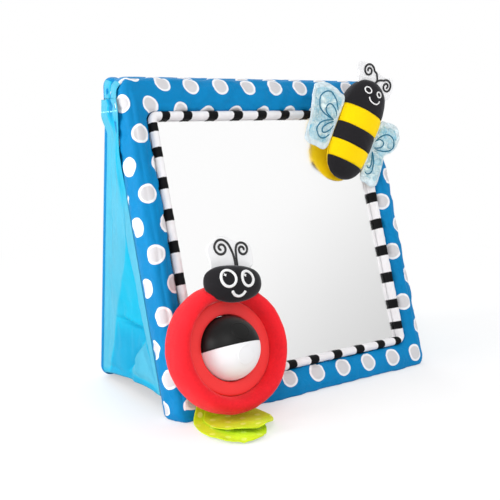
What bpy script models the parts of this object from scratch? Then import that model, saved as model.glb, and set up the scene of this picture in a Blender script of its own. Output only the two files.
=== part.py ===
# A padded floor mirror for a baby: a dotted frame with a plastic mirror, a folding stand
# behind it, and two stuffed insects held on the frame by hook and loop patches.
# Metres, +Z up, +Y to the back, +X to the right seen from the front.
# The origin lies on the floor, in the middle of the front panel's flat foot.

import math

import bmesh
import bpy
from mathutils import Matrix, Vector

# General
clearance = 0.0003
cut_overrun = 0.05

# Front panel, across, up its slope and through
panel_width = 0.334
panel_height = 0.344
panel_depth = 0.032
panel_lean = math.radians(18.26)
panel_corner_radius = 0.014
panel_edge_radius = 0.006
side_crown = 0.0015
face_crown = 0.0015
foot_setback = 0.018
cover_wall = 0.0012
lining_thickness = 0.0008
lining_margin = 0.002

# Window, mirror and what backs it
window_rise = 0.0293
window_top_margin = 0.0374
window_side_margin = 0.0247
window_width = panel_width - 2 * window_side_margin
window_height = panel_height - window_rise - window_top_margin
window_corner_radius = 0.012
mirror_setback = 0.009
mirror_thickness = 0.0015
board_thickness = 0.003
piping_radius = 0.0046

# Stand
stand_spread = 0.179
back_depth = 0.0066
back_corner_radius = 0.012
back_wall = 0.0009
back_foot_wall = 0.003
back_edge_radius = 0.002
back_rise = 0.008
back_board_margin = 0.002
hinge_gap = 0.0005
hinge_drop = 0.001
strip_thickness = 0.0012
strip_overlap = 0.011
gusset_thickness = 0.001
gusset_top_drop = 0.013
gusset_foot_gap = 0.002
gusset_front_rise = 0.019
gusset_crease = 0.008
gusset_arch = 0.003

# Ladybird, in the front panel's across, up and out
ladybird_side_inset = 0.0525
ladybird_place = (ladybird_side_inset - panel_width / 2, 0.0643, 0.0243)
plush_outer_radius = 0.0622
plush_half_depth = 0.018
bezel_outer_radius = 0.0452
bezel_front = 0.0042
bezel_crown = 0.0008
bezel_rear = 0.0065
bezel_edge = 0.0018
ball_radius = 0.031
ball_gap = 0.0008
ball_wall = 0.0016
ball_seam_tilt = math.radians(6.5)
axle_radius = 0.002
axle_socket = 0.006
bead_radius = 0.0022
bead_angle = math.radians(14)
head_place = (0.0074, 0.0591, 0.0167)
head_half_sizes = (0.0315, 0.0185, 0.014)
head_tilt = math.radians(-7)
tab_thickness = 0.0014
ladybird_tab_place = (0.0135, 0.072, 0.0122)
ladybird_tab_size = (0.050, 0.034)

# Leaves below the ladybird
leaf_thickness = 0.001
leaf_spacing = 0.0017
leaf_root_rise = 0.020
leaf_root_gap = 0.0012
leaf_bend = 0.005
lower_leaf_length = 0.085
upper_leaf_length = 0.075
leaf_wave = 0.0016
leaf_wave_length = 0.031
leaf_tip_lift = 0.005
lower_leaf_half_width = 0.031
lower_leaf_shifts = (-0.0095, -0.0155)
upper_leaf_half_width = 0.031
upper_leaf_shifts = (0.0005, -0.0005)
leaf_base_shrink = 0.35

# Bee, in the front panel's across, up and out
bee_side_inset = 0.0568
bee_top_inset = 0.0656
bee_place = (panel_width / 2 - bee_side_inset, panel_height - bee_top_inset, 0.0156)
bee_tilt = math.radians(-25.6)
bee_pitch = math.radians(18.2)
bee_roll = math.radians(5.4)
bee_length = 0.1166
bee_half_width = 0.028
bee_front_height = 0.0155
bee_back_height = 0.0105
bee_head_back_height = 0.030
bee_fullness = 4
band_edges = (-0.0403, -0.0203, -0.0003, 0.0214)
wing_thickness = 0.0022
wing_gap = 0.0008
left_wing_size = (0.0446, 0.061)
left_wing_start = 0.0203
left_wing_lift = 0
right_wing_size = (0.0305, 0.067)
right_wing_start = 0.0161
right_wing_lift = math.radians(-18)
bee_tab_place = (0.001, 0.046, -0.001)
bee_tab_size = (0.060, 0.028)

# Hook and loop patches
patch_size = (0.010, 0.020)
patch_thickness = 0.0012
ladybird_patch_thickness = 0.0026
ladybird_patch_inset = 0.012
ladybird_patch_place = (ladybird_patch_inset - panel_width / 2, 0.034)
ladybird_patch_turn = math.radians(35)
bee_patch_insets = (0.0395, 0.0265)
bee_patch_place = (panel_width / 2 - bee_patch_insets[0], panel_height - bee_patch_insets[1])
bee_patch_turn = math.radians(90)

# Mesh density
corner_steps = 4
turn_steps = 36
arc_steps = 8
section_steps = 16
curve_resolution = 6
leaf_step = 0.005
leaf_columns = 10
gusset_rows = 10

# Outlines as shares of a piece's across and up sizes, starting at its root
ladybird_tab_shares = ((-0.4, 0.0), (-0.49, 0.34), (-0.5, 0.72), (-0.23, 1.0), (-0.03, 0.95), (0.12, 0.82),
                       (0.4, 0.74), (0.49, 0.5), (0.38, 0.0))
bee_tab_shares = ((-0.27, 0.0), (-0.44, 0.54), (-0.52, 0.79), (-0.33, 1.0), (-0.03, 0.9), (0.19, 0.86),
                  (0.4, 0.96), (0.51, 0.49), (0.36, -0.05))
left_wing_shares = ((0.0, 0.0), (0.23, 0.126), (0.65, 0.16), (0.955, 0.067), (1.0, -0.062),
                    (0.81, -0.554), (0.72, -0.93), (0.36, -0.97), (0.0, -0.86))
right_wing_shares = ((0.0, 0.0), (0.32, 0.13), (0.75, 0.12), (1.0, -0.06), (0.92, -0.3), (0.66, -0.443),
                     (0.73, -0.673), (0.74, -0.98), (0.36, -1.0), (0.0, -0.87))
gusset_column_shares = ((0.0, 0.0), (0.25, 0.5), (0.5, 1.0), (0.75, 0.5), (1.0, 0.0))

colours = {
    "dotted_blue": ((0.0, 0.21, 0.58), 0.6, 0.0),
    "sky_blue": ((0.03, 0.5, 0.85), 0.45, 0.0),
    "foam": ((0.85, 0.82, 0.7), 0.9, 0.0),
    "mirror": ((0.9, 0.91, 0.92), 0.03, 1.0),
    "board": ((0.45, 0.33, 0.2), 0.8, 0.0),
    "white_cloth": ((0.9, 0.9, 0.9), 0.7, 0.0),
    "black_cloth": ((0.015, 0.014, 0.016), 0.8, 0.0),
    "red_plush": ((0.83, 0.02, 0.03), 0.9, 0.0),
    "red_plastic": ((0.9, 0.07, 0.06), 0.35, 0.0),
    "black_plastic": ((0.012, 0.012, 0.013), 0.2, 0.0),
    "white_plastic": ((0.85, 0.85, 0.86), 0.25, 0.0),
    "steel": ((0.6, 0.6, 0.6), 0.3, 1.0),
    "leaf_green": ((0.42, 0.6, 0.02), 0.5, 0.0),
    "yellow_cloth": ((0.95, 0.66, 0.0), 0.7, 0.0),
    "wing_satin": ((0.45, 0.72, 0.85), 0.3, 0.3),
    "hook_and_loop": ((0.75, 0.75, 0.75), 0.9, 0.0),
}


def clear_scene():
    for old in list(bpy.data.objects):
        bpy.data.objects.remove(old, do_unlink=True)


def new_collection(name):
    made = bpy.data.collections.new(name)
    bpy.context.scene.collection.children.link(made)
    return made


def material(name):
    found = bpy.data.materials.get(name)
    if found:
        return found
    colour, roughness, metallic = colours[name]
    made = bpy.data.materials.new(name)
    made.use_nodes = True
    shader = made.node_tree.nodes["Principled BSDF"]
    shader.inputs["Base Color"].default_value = (*colour, 1)
    shader.inputs["Roughness"].default_value = roughness
    shader.inputs["Metallic"].default_value = metallic
    made.diffuse_color = (*colour, 1)
    return made


def empty(name, parent=None, place=(0, 0, 0), turn=(0, 0, 0), order="XYZ"):
    made = bpy.data.objects.new(name, None)
    parts.objects.link(made)
    made.parent = parent
    made.location = place
    made.rotation_mode = order
    made.rotation_euler = turn
    return made


def add_object(name, data, finish, parent, place=(0, 0, 0), turn=(0, 0, 0)):
    """Puts a piece, or with no finish a cutter, into its collection."""
    made = bpy.data.objects.new(name, data)
    (parts if finish else cutters).objects.link(made)
    made.parent = parent
    made.location = place
    made.rotation_euler = turn
    if finish:
        data.materials.append(material(finish))
    else:
        made.hide_render = True
        made.display_type = "WIRE"
    return made


def mesh_from(name, points, faces, edges=()):
    data = bpy.data.meshes.new(name)
    data.from_pydata(points, edges, faces)
    data.update()
    return data


def face_outwards(data):
    shape = bmesh.new()
    shape.from_mesh(data)
    bmesh.ops.recalc_face_normals(shape, faces=shape.faces)
    shape.to_mesh(data)
    shape.free()


def smooth(piece, angle=math.radians(40)):
    piece.data.shade_smooth()
    piece.data.set_sharp_from_angle(angle=angle)


def cut(piece, cutter, operation="DIFFERENCE"):
    boolean = piece.modifiers.new(f"{operation.lower()}_{cutter.name}", "BOOLEAN")
    boolean.object = cutter
    boolean.operation = operation


def rounded_rectangle(half_width, low, high, radius):
    """Corner arcs of a rounded rectangle, anticlockwise from the lower right."""
    middle = (low + high) / 2
    points = []
    for across, up, start in ((1, -1, -90), (1, 1, 0), (-1, 1, 90), (-1, -1, 180)):
        centre = (across * (half_width - radius), middle + up * ((high - low) / 2 - radius))
        for step in range(corner_steps + 1):
            angle = math.radians(start + 90 * step / corner_steps)
            points.append((centre[0] + radius * math.cos(angle),
                           centre[1] + radius * math.sin(angle)))
    return points


def add_spline(curve, points, closed=True, smooth_path=False):
    if smooth_path:
        spline = curve.splines.new("BEZIER")
        spline.bezier_points.add(len(points) - 1)
        for knot, place in zip(spline.bezier_points, points):
            knot.co = (*place, 0) if len(place) == 2 else place
            knot.handle_left_type = knot.handle_right_type = "AUTO"
    else:
        spline = curve.splines.new("POLY")
        spline.points.add(len(points) - 1)
        for knot, place in zip(spline.points, points):
            knot.co = (*place, 0, 1) if len(place) == 2 else (*place, 1)
    spline.use_cyclic_u = closed


def plate(name, outline, low, high, finish, parent, place=(0, 0, 0), turn=(0, 0, 0), rounded=False):
    """A flat piece of this outline, between two heights of its parent's third axis."""
    curve = bpy.data.curves.new(name, "CURVE")
    curve.dimensions = "2D"
    curve.fill_mode = "BOTH"
    curve.resolution_u = curve_resolution
    curve.extrude = (high - low) / 2
    add_spline(curve, outline, smooth_path=rounded)
    middle = Vector(place) + Vector((0, 0, (low + high) / 2))
    return add_object(name, curve, finish, parent, middle, turn)


def as_mesh(piece):
    """The same piece as a mesh with welded caps, for a Boolean or a Bevel."""
    bpy.context.view_layer.update()
    graph = bpy.context.evaluated_depsgraph_get()
    data = bpy.data.meshes.new_from_object(piece.evaluated_get(graph))
    shape = bmesh.new()
    shape.from_mesh(data)
    bmesh.ops.remove_doubles(shape, verts=shape.verts, dist=clearance / 30)
    bmesh.ops.recalc_face_normals(shape, faces=shape.faces)
    shape.to_mesh(data)
    shape.free()
    name, parent, local = piece.name, piece.parent, piece.matrix_local.copy()
    finish = piece.data.materials[0].name if piece.data.materials else None
    data.materials.clear()
    bpy.data.objects.remove(piece, do_unlink=True)
    made = add_object(name, data, finish, parent)
    made.matrix_local = local
    return made


def box(name, low, high, finish, parent):
    shape = bmesh.new()
    size = Vector(high) - Vector(low)
    centre = (Vector(high) + Vector(low)) / 2
    bmesh.ops.create_cube(shape, size=1, matrix=Matrix.Translation(centre) @ Matrix.Diagonal((*size, 1)))
    data = bpy.data.meshes.new(name)
    shape.to_mesh(data)
    shape.free()
    return add_object(name, data, finish, parent)


def rod(name, radius, length, finish, parent, place=(0, 0, 0)):
    """A round bar along its parent's first axis."""
    shape = bmesh.new()
    bmesh.ops.create_cone(shape, cap_ends=True, segments=section_steps, radius1=radius,
                          radius2=radius, depth=length, matrix=Matrix.Rotation(math.pi / 2, 4, "Y"))
    data = bpy.data.meshes.new(name)
    shape.to_mesh(data)
    shape.free()
    return add_object(name, data, finish, parent, place)


def turned(name, profile, finish, parent, turn=(0, 0, 0), closed=True, place=(0, 0, 0)):
    """A profile of radius and height, turned about its parent's third axis."""
    points = [(radius, 0, height) for radius, height in profile]
    last = len(points) if closed else len(points) - 1
    edges = [(i, (i + 1) % len(points)) for i in range(last)]
    made = add_object(name, mesh_from(name, points, (), edges), finish, parent, place, turn)
    screw = made.modifiers.new("turn", "SCREW")
    screw.steps = screw.render_steps = turn_steps
    screw.use_merge_vertices = True
    screw.merge_threshold = clearance / 30
    screw.use_smooth_shade = True
    return made


def ellipsoid(name, half_sizes, finish, parent, place=(0, 0, 0), turn=(0, 0, 0), grow=0,
              steps=section_steps):
    shape = bmesh.new()
    scale = Matrix.Diagonal((*(half + grow for half in half_sizes), 1))
    bmesh.ops.create_uvsphere(shape, u_segments=steps * 3 // 2, v_segments=steps, radius=1, matrix=scale)
    data = bpy.data.meshes.new(name)
    shape.to_mesh(data)
    shape.free()
    made = add_object(name, data, finish, parent, place, turn)
    smooth(made)
    return made


def sheet(name, rows, thickness, finish, parent):
    """A cloth sheet through a grid of points, thickened evenly to both sides."""
    across = len(rows[0])
    points = [point for row in rows for point in row]
    faces = [(i * across + j, i * across + j + 1, (i + 1) * across + j + 1, (i + 1) * across + j)
             for i in range(len(rows) - 1) for j in range(across - 1)]
    made = add_object(name, mesh_from(name, points, faces), finish, parent)
    wall = made.modifiers.new("cloth", "SOLIDIFY")
    wall.thickness = thickness
    wall.offset = 0
    wall.use_even_offset = True
    smooth(made)
    return made


def ring_of_loops(name, loops, finish, parent, closed):
    """A band of faces through loops of equal count, closed round its section or left open."""
    count = len(loops[0])
    points = [point for loop in loops for point in loop]
    pairs = list(range(len(loops) - 1)) + ([len(loops) - 1] if closed else [])
    faces = []
    for i in pairs:
        here, there = i * count, (i + 1) % len(loops) * count
        for j in range(count):
            after = (j + 1) % count
            faces.append((here + j, here + after, there + after, there + j))
    data = mesh_from(name, points, faces)
    face_outwards(data)
    return add_object(name, data, finish, parent)


# Front panel

def seam_outline(inset):
    """The panel's outline at its side seams, moved in by this much."""
    half = panel_width / 2 - side_crown
    return rounded_rectangle(half - inset, inset, panel_height - side_crown - inset,
                             panel_corner_radius - inset)


def window_outline(inset):
    """The window's outline, moved in by this much; a negative inset moves it out."""
    low = window_rise + inset
    return rounded_rectangle(window_width / 2 - inset, low, window_rise + window_height - inset,
                             window_corner_radius - inset)


def floor_height(out, gap=0):
    """How far up the slope the floor lies, at this distance out from the panel's face."""
    return (gap - out * math.sin(panel_lean)) / math.cos(panel_lean)


def pad_loops(shrink, rear):
    """The padded frame's section carried round the window: side, rounded edge, crown, edge, well."""
    radius = panel_edge_radius - shrink
    arc = [(shrink + radius * (1 - math.cos(math.radians(angle))),
            -face_crown - shrink - radius * (1 - math.sin(math.radians(angle))))
           for angle in (0, 30, 60, 90)]
    outer = [(shrink, rear), (shrink - side_crown, (rear + arc[0][1]) / 2)] + arc
    inner = list(reversed(arc)) + [(shrink, rear)]
    loops = [[(*point, out) for point in seam_outline(inset)] for inset, out in outer]
    far = [[(*point, out) for point in window_outline(-inset)] for inset, out in inner]
    crown = [((a[0] + b[0]) / 2, (a[1] + b[1]) / 2, -shrink) for a, b in zip(loops[-1], far[0])]
    pressed = []
    for loop in loops + [crown] + far:
        pressed.append([(across, max(up, floor_height(out, shrink)), out) for across, up, out in loop])
    return pressed


def make_front_panel():
    rear = -panel_depth
    inside = rear + lining_thickness + clearance
    cover = ring_of_loops("front_cover", pad_loops(0, inside), "dotted_blue", front, closed=False)
    wall = cover.modifiers.new("cloth", "SOLIDIFY")
    wall.thickness = cover_wall
    wall.offset = -1
    wall.use_even_offset = True
    smooth(cover)
    gap = cover_wall + 3 * clearance
    foam = ring_of_loops("foam_ring", pad_loops(gap, inside), "foam", front, closed=True)
    smooth(foam)

    mirror_face = -mirror_setback
    well = window_outline(cover_wall + clearance)
    levels = [mirror_face, mirror_face - mirror_thickness]
    plate("mirror_sheet", well, levels[1], levels[0], "mirror", front)
    levels += [levels[1] - clearance, levels[1] - clearance - board_thickness]
    plate("backing_board", well, levels[3], levels[2], "board", front)
    plate("foam_core", well, inside, levels[3] - clearance, "foam", front)
    half = panel_width / 2 - side_crown - lining_margin
    foot = floor_height(rear, lining_margin)
    lining = rounded_rectangle(half, foot, panel_height - side_crown - lining_margin,
                               panel_corner_radius - lining_margin)
    plate("front_lining", lining, rear, rear + lining_thickness, "sky_blue", front)

    tube = bpy.data.curves.new("window_piping", "CURVE")
    tube.dimensions = "3D"
    tube.bevel_depth = piping_radius
    tube.bevel_resolution = 2
    inset = cover_wall + clearance + piping_radius
    height = mirror_face + clearance + piping_radius
    add_spline(tube, [(*point, height) for point in window_outline(inset)])
    add_object("window_piping", tube, "white_cloth", front)


# Stand

def in_world(frame, point):
    bpy.context.view_layer.update()
    return frame.matrix_world @ Vector(point)


def make_back_panel():
    half = panel_width / 2 - side_crown
    lean = back.rotation_euler.x - math.pi / 2
    outer_face = -(hinge_gap + back_depth)
    foot = -(back.location.z - outer_face * math.sin(lean)) / math.cos(lean)
    outline = rounded_rectangle(half, foot, back_rise, back_corner_radius)
    cover = as_mesh(plate("back_cover", outline, outer_face, -hinge_gap, "dotted_blue", back))
    edge = cover.modifiers.new("edge", "BEVEL")
    edge.width = back_edge_radius
    edge.segments = 2
    edge.angle_limit = math.radians(60)
    smooth(cover)
    pocket = rounded_rectangle(half - back_wall, foot + back_foot_wall, back_rise + cut_overrun,
                               back_corner_radius - back_wall)
    pocket_cutter = as_mesh(plate("pocket_cutter", pocket, outer_face + back_wall,
                                  -hinge_gap - back_wall, None, back))
    cut(cover, pocket_cutter)
    reach = panel_width + cut_overrun
    floor_cutter = box("floor_cutter", (-reach, -reach, -cut_overrun), (reach, reach, 0), None, None)
    cut(cover, floor_cutter)
    inset = back_wall + clearance
    board = rounded_rectangle(half - inset, foot + back_foot_wall + clearance,
                              back_rise - back_board_margin, back_corner_radius - inset)
    plate("back_board", board, outer_face + inset, -hinge_gap - inset, "board", back)


def make_hinge_strip():
    """Cloth sewn on the pad's top edge, carried over the stand's top and down behind it."""
    lift = clearance + strip_thickness / 2
    half = panel_width / 2 - side_crown
    start = in_world(front, (0, panel_height - side_crown + lift, -panel_edge_radius - face_crown))
    outer_face = -(hinge_gap + back_depth)
    corner = in_world(back, (0, back_rise + lift, outer_face - lift))
    inner = in_world(back, (0, back_rise + lift, -hinge_gap))
    end = in_world(back, (0, back_rise - strip_overlap, outer_face - lift))
    level = max(corner.z, inner.z)
    path = [start, Vector((0, inner.y, level)), Vector((0, corner.y, level)), end]
    rows = [[(across * half, point.y, point.z) for across in (-1, 1)] for point in path]
    sheet("hinge_strip", rows, strip_thickness, "dotted_blue", None)


def make_gusset(name, side):
    """Cloth from the pad's rear edge to the stand's outer side edge, with a soft fold between."""
    half = panel_width / 2 - side_crown
    near_across = side * (half - gusset_thickness)
    far_across = side * (half + clearance + gusset_thickness)
    front_out = -(panel_depth + clearance + gusset_thickness / 2)
    lean = back.rotation_euler.x - math.pi / 2
    low_front = floor_height(front_out, gusset_front_rise)
    low_back = -(back.location.z - gusset_foot_gap) / math.cos(lean)
    rows = []
    for row in range(gusset_rows + 1):
        share = row / gusset_rows
        up_front = low_front + share * (panel_height - gusset_top_drop - low_front)
        up_back = low_back + share * (hinge_drop - gusset_top_drop - low_back)
        near = in_world(front, (near_across, up_front, front_out))
        far = in_world(back, (far_across, up_back, -hinge_gap))
        end = in_world(back, (far_across, up_back, -(hinge_gap + back_depth)))
        room = min(1, (far - near).length / (4 * gusset_crease))
        points = []
        for along, fold in gusset_column_shares:
            point = near.lerp(far, along)
            point.x -= side * fold * gusset_crease * room
            point.z += fold * gusset_arch * (1 - share) ** 3
            points.append(point)
        rows.append(points + [end])
    sheet(name, rows, gusset_thickness, "sky_blue", None)


# Ladybird

def plush_section(grow=0):
    """A tube section, flatter at its back, that fills the space round the plastic ring."""
    inner = bezel_outer_radius + clearance
    middle, half = (plush_outer_radius + inner) / 2, (plush_outer_radius - inner) / 2
    section = []
    for step in range(section_steps):
        angle = -2 * math.pi * step / section_steps
        square = 0.75 if math.sin(angle) < 0 else 0.95
        across = math.copysign(abs(math.cos(angle)) ** square, math.cos(angle))
        up = math.copysign(abs(math.sin(angle)) ** square, math.sin(angle))
        section.append((middle + (half + grow) * across, (plush_half_depth + grow) * up))
    return section


def make_ladybird_ring():
    turned("ladybird_body", plush_section(), "red_plush", ladybird)
    inner, outer = ball_radius + ball_gap, bezel_outer_radius
    seam = clearance / 2
    face = [(inner + bezel_edge / 2, bezel_front), ((inner + outer) / 2, bezel_front + bezel_crown),
            (outer - bezel_edge, bezel_front), (outer, bezel_front - bezel_edge)]
    front_profile = face + [(outer, seam), (inner, seam), (inner, bezel_front - bezel_edge / 2)]
    rear_profile = [(inner, -seam), (outer, -seam), (outer, bezel_edge - bezel_rear),
                    (outer - bezel_edge, -bezel_rear), (inner + bezel_edge, -bezel_rear),
                    (inner, bezel_edge - bezel_rear)]
    length = 2 * (inner + axle_socket)
    bore = rod("axle_bore_cutter", axle_radius + clearance, length + 2 * clearance, None, ladybird)
    for name, profile in (("ball_ring_front", front_profile), ("ball_ring_rear", rear_profile)):
        cut(turned(name, profile, "red_plastic", ladybird), bore)
    rod("ball_axle", axle_radius, length, "steel", ball)


def make_ball():
    seam = clearance / 2
    inner = ball_radius - ball_wall

    def arc(radius):
        start = math.asin(seam / radius)
        angles = [math.pi / 2 - (math.pi / 2 - start) * i / arc_steps for i in range(arc_steps + 1)]
        points = [(radius * math.cos(angle), radius * math.sin(angle)) for angle in angles]
        return [(0, radius)] + points[1:]

    hole = rod("ball_hole_cutter", axle_radius + clearance, 2 * (ball_radius + cut_overrun), None, ball)
    profile = arc(ball_radius) + list(reversed(arc(inner)))
    for name, finish, turn in (("ball_black_half", "black_plastic", -math.pi / 2),
                               ("ball_white_half", "white_plastic", math.pi / 2)):
        half = turned(name, profile, finish, ball, (turn, 0, 0), closed=False)
        cut(half, hole)
    track = inner - bead_radius - clearance
    down = Vector((0, -math.cos(panel_lean), -math.sin(panel_lean)))
    for number in range(3):
        angle = (number - 1) * bead_angle
        place = Vector((math.sin(angle), 0, 0)) + down * math.cos(angle)
        place = ball.rotation_euler.to_matrix().inverted() @ (place * track)
        ellipsoid(f"rattle_bead_{number + 1}", (bead_radius,) * 3, "white_plastic", ball, place,
                  steps=arc_steps)


def antenna_tab(name, shares, size, parent, place, body_cutter):
    outline = [(x * size[0], y * size[1]) for x, y in shares]
    half = tab_thickness / 2
    tab = as_mesh(plate(name, outline, -half, half, "white_cloth", parent, place, rounded=True))
    cut(tab, body_cutter)
    return tab


def make_ladybird_head():
    ring = turned("ring_cutter", plush_section(clearance), None, ladybird)
    turn = (0, 0, head_tilt)
    head = ellipsoid("ladybird_head", head_half_sizes, "black_cloth", ladybird, head_place, turn)
    cut(head, ring)
    grown = ellipsoid("head_cutter", head_half_sizes, None, ladybird, head_place, turn, clearance)
    antenna_tab("ladybird_antennae", ladybird_tab_shares, ladybird_tab_size, ladybird,
                ladybird_tab_place, grown)


def leaf_path(distance):
    """Down the pad's face, round a bend and forward over the floor: a place and what is above it."""
    root = in_world(front, (0, leaf_root_rise, leaf_root_gap))
    floor = leaf_thickness
    down = Vector((0, -math.sin(panel_lean), -math.cos(panel_lean)))
    above = Vector((0, -math.cos(panel_lean), math.sin(panel_lean)))
    fall = (root.z - floor - leaf_bend * (1 - math.sin(panel_lean))) / math.cos(panel_lean)
    if distance < fall:
        return root + down * distance, above
    centre = root + down * fall + above * leaf_bend
    turn = min((distance - fall) / leaf_bend, math.pi / 2 - panel_lean)
    above = Vector((0, -math.cos(panel_lean + turn), math.sin(panel_lean + turn)))
    place = centre - above * leaf_bend
    place.y -= distance - fall - leaf_bend * turn
    return place, above


def make_leaf(name, shifts, half_width, offset, length, lift):
    rows = []
    count = round(length / leaf_step)
    for row in range(count + 1):
        share = row / count
        bulge = (share - 0.5) / 0.5
        width = half_width * (math.sqrt(1 - 0.97 * bulge ** 2) if bulge > 0 else 1 - leaf_base_shrink * bulge ** 2)
        middle = ladybird_place[0] + shifts[0] + (shifts[1] - shifts[0]) * share
        place, above = leaf_path(row * leaf_step)
        free = max(0, share - 0.5) / 0.5
        points = []
        for column in range(leaf_columns + 1):
            across = middle + width * (2 * column / leaf_columns - 1)
            wave = math.sin(math.pi * across / leaf_wave_length) ** 2
            point = place + above * (offset + free * (lift * free + leaf_wave * wave))
            point.x = across
            points.append(point)
        rows.append(points)
    sheet(name, rows, leaf_thickness, "leaf_green", None)


# Bee

def bee_base(name, finish=None, back_height=bee_back_height, grow=0):
    """The stuffed body whole: a full oval with a striped front half and a plain back half."""
    made = ellipsoid(name, (1, 1, 1), finish, bee)
    made.data.transform(Matrix.Rotation(-math.pi / 2, 4, "X"))
    for point in made.data.vertices:
        x, y, z = point.co
        ring = math.hypot(x, z)
        full = math.sqrt(1 - min(1, abs(y)) ** bee_fullness) / ring if ring > 0.001 else 0
        height = bee_front_height if z > 0 else back_height
        point.co = (x * full * (bee_half_width + grow), y * (bee_length / 2 + grow),
                    z * full * (height + grow))
    return made


def bee_piece(name, finish, low, high, back_height=bee_back_height):
    piece = bee_base(name, finish, back_height)
    cut(piece, box(f"{name}_slab", low, high, None, bee), "INTERSECT")
    return piece


def make_bee_body():
    reach = bee_length
    seam = clearance / 2
    ends = (-reach, *band_edges)
    names = (("bee_tail", "black_cloth"), ("bee_lower_band", "yellow_cloth"),
             ("bee_middle_band", "black_cloth"), ("bee_upper_band", "yellow_cloth"))
    for (name, finish), low, high in zip(names, ends, ends[1:]):
        bee_piece(name, finish, (-reach, low + seam, seam), (reach, high - seam, reach))
    neck = band_edges[-1]
    bee_piece("bee_back", "yellow_cloth", (-reach, -reach, -reach), (reach, neck - seam, -seam))
    head = bee_piece("bee_head", "black_cloth", (-reach, neck + seam, -reach), (reach, reach, reach),
                     bee_head_back_height)
    seat = 2 * (clearance + patch_thickness) + clearance
    cut(head, box("bee_seat_cutter", (0, 0, -cut_overrun), (panel_width, panel_height + reach, seat),
                  None, front))
    grown = bee_base("bee_cutter", back_height=bee_head_back_height, grow=clearance)
    antenna_tab("bee_antennae", bee_tab_shares, bee_tab_size, bee, bee_tab_place, grown)


def make_wing(name, side, size, start, lift, shares):
    """A flat cloth wing, hinged along the body's side seam."""
    hinge = empty(f"{name}_hinge", bee, (side * (bee_half_width + wing_gap), start, 0), (0, lift, 0))
    outline = [(side * x * size[0], y * size[1]) for x, y in shares]
    curve_piece = plate(name, outline, -wing_thickness / 2, wing_thickness / 2, "wing_satin", hinge,
                        rounded=True)
    wing = as_mesh(curve_piece)
    reach = max(size) + cut_overrun
    low, high = sorted((0, -side * reach))
    root = box(f"{name}_root_cutter", (low, -reach, -reach), (high, reach, reach), None, hinge)
    cut(wing, root)


def make_patches():
    for owner, spot, turn, thickness, toy in (
            ("ladybird", ladybird_patch_place, ladybird_patch_turn, ladybird_patch_thickness, ladybird),
            ("bee", bee_patch_place, bee_patch_turn, patch_thickness, bee)):
        outline = [(x * patch_size[0] / 2, y * patch_size[1] / 2)
                   for x, y in ((-1, -1), (1, -1), (1, 1), (-1, 1))]
        for number, kind in enumerate(("loop", "hook")):
            low = clearance + number * (thickness + clearance)
            plate(f"{owner}_{kind}_patch", outline, low, low + thickness, "hook_and_loop", front,
                  (*spot, 0), (0, 0, turn))


clear_scene()
parts = new_collection("tummy_time_floor_mirror")
cutters = new_collection("cutters")

front = empty("front_panel_frame", None, (0, -foot_setback, 0), (math.pi / 2 - panel_lean, 0, 0))
hinge_place = in_world(front, (0, panel_height - side_crown - hinge_drop, -panel_depth - 2 * clearance))
foot_y = stand_spread - foot_setback
back_lean = math.atan((foot_y - hinge_place.y - back_depth - hinge_gap) / hinge_place.z)
back = empty("back_panel_frame", None, hinge_place, (math.pi / 2 + back_lean, 0, 0))
ladybird = empty("ladybird_frame", front, ladybird_place)
ball = empty("ball_frame", ladybird, turn=(-ball_seam_tilt, 0, 0))
bee = empty("bee_frame", front, bee_place, (bee_pitch, bee_roll, bee_tilt), "YXZ")

make_front_panel()
make_back_panel()
make_hinge_strip()
make_gusset("left_gusset", -1)
make_gusset("right_gusset", 1)
make_ladybird_ring()
make_ball()
make_ladybird_head()
make_leaf("lower_leaf", lower_leaf_shifts, lower_leaf_half_width, 0, lower_leaf_length, 0)
make_leaf("upper_leaf", upper_leaf_shifts, upper_leaf_half_width, leaf_spacing, upper_leaf_length,
          leaf_tip_lift)
make_bee_body()
make_wing("bee_left_wing", -1, left_wing_size, left_wing_start, left_wing_lift, left_wing_shares)
make_wing("bee_right_wing", 1, right_wing_size, right_wing_start, right_wing_lift, right_wing_shares)
make_patches()
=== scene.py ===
import math

import bmesh
import bpy
import numpy as np
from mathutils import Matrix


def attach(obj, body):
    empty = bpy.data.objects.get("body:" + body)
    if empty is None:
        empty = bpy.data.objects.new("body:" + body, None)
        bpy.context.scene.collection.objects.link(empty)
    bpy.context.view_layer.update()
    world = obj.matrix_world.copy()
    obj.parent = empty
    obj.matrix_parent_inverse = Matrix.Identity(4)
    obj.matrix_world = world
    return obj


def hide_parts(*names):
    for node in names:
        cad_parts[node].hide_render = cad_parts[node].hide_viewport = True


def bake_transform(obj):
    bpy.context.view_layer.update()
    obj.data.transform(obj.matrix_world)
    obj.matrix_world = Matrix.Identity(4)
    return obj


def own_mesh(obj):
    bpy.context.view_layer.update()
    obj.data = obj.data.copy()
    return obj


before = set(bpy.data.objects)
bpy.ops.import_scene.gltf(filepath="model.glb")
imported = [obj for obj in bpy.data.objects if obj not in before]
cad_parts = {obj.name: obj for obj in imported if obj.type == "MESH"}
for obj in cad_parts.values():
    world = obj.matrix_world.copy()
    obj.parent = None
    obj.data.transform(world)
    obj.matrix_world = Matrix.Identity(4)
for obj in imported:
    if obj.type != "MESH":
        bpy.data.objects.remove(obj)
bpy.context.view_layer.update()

scene = bpy.context.scene
print("frame loaded,", len(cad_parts), "nodes")


# Frames that the pieces are worked out in: across, up and out of each surface

def makeFrame(origin, across, up, out):
    return {"origin": np.array(origin, float), "axes": np.array([across, up, out], float)}


def inWorld(points, place):
    return place["origin"] + np.asarray(points, float) @ place["axes"]


def inPlace(points, place):
    return (np.asarray(points, float) - place["origin"]) @ place["axes"].T


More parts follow.
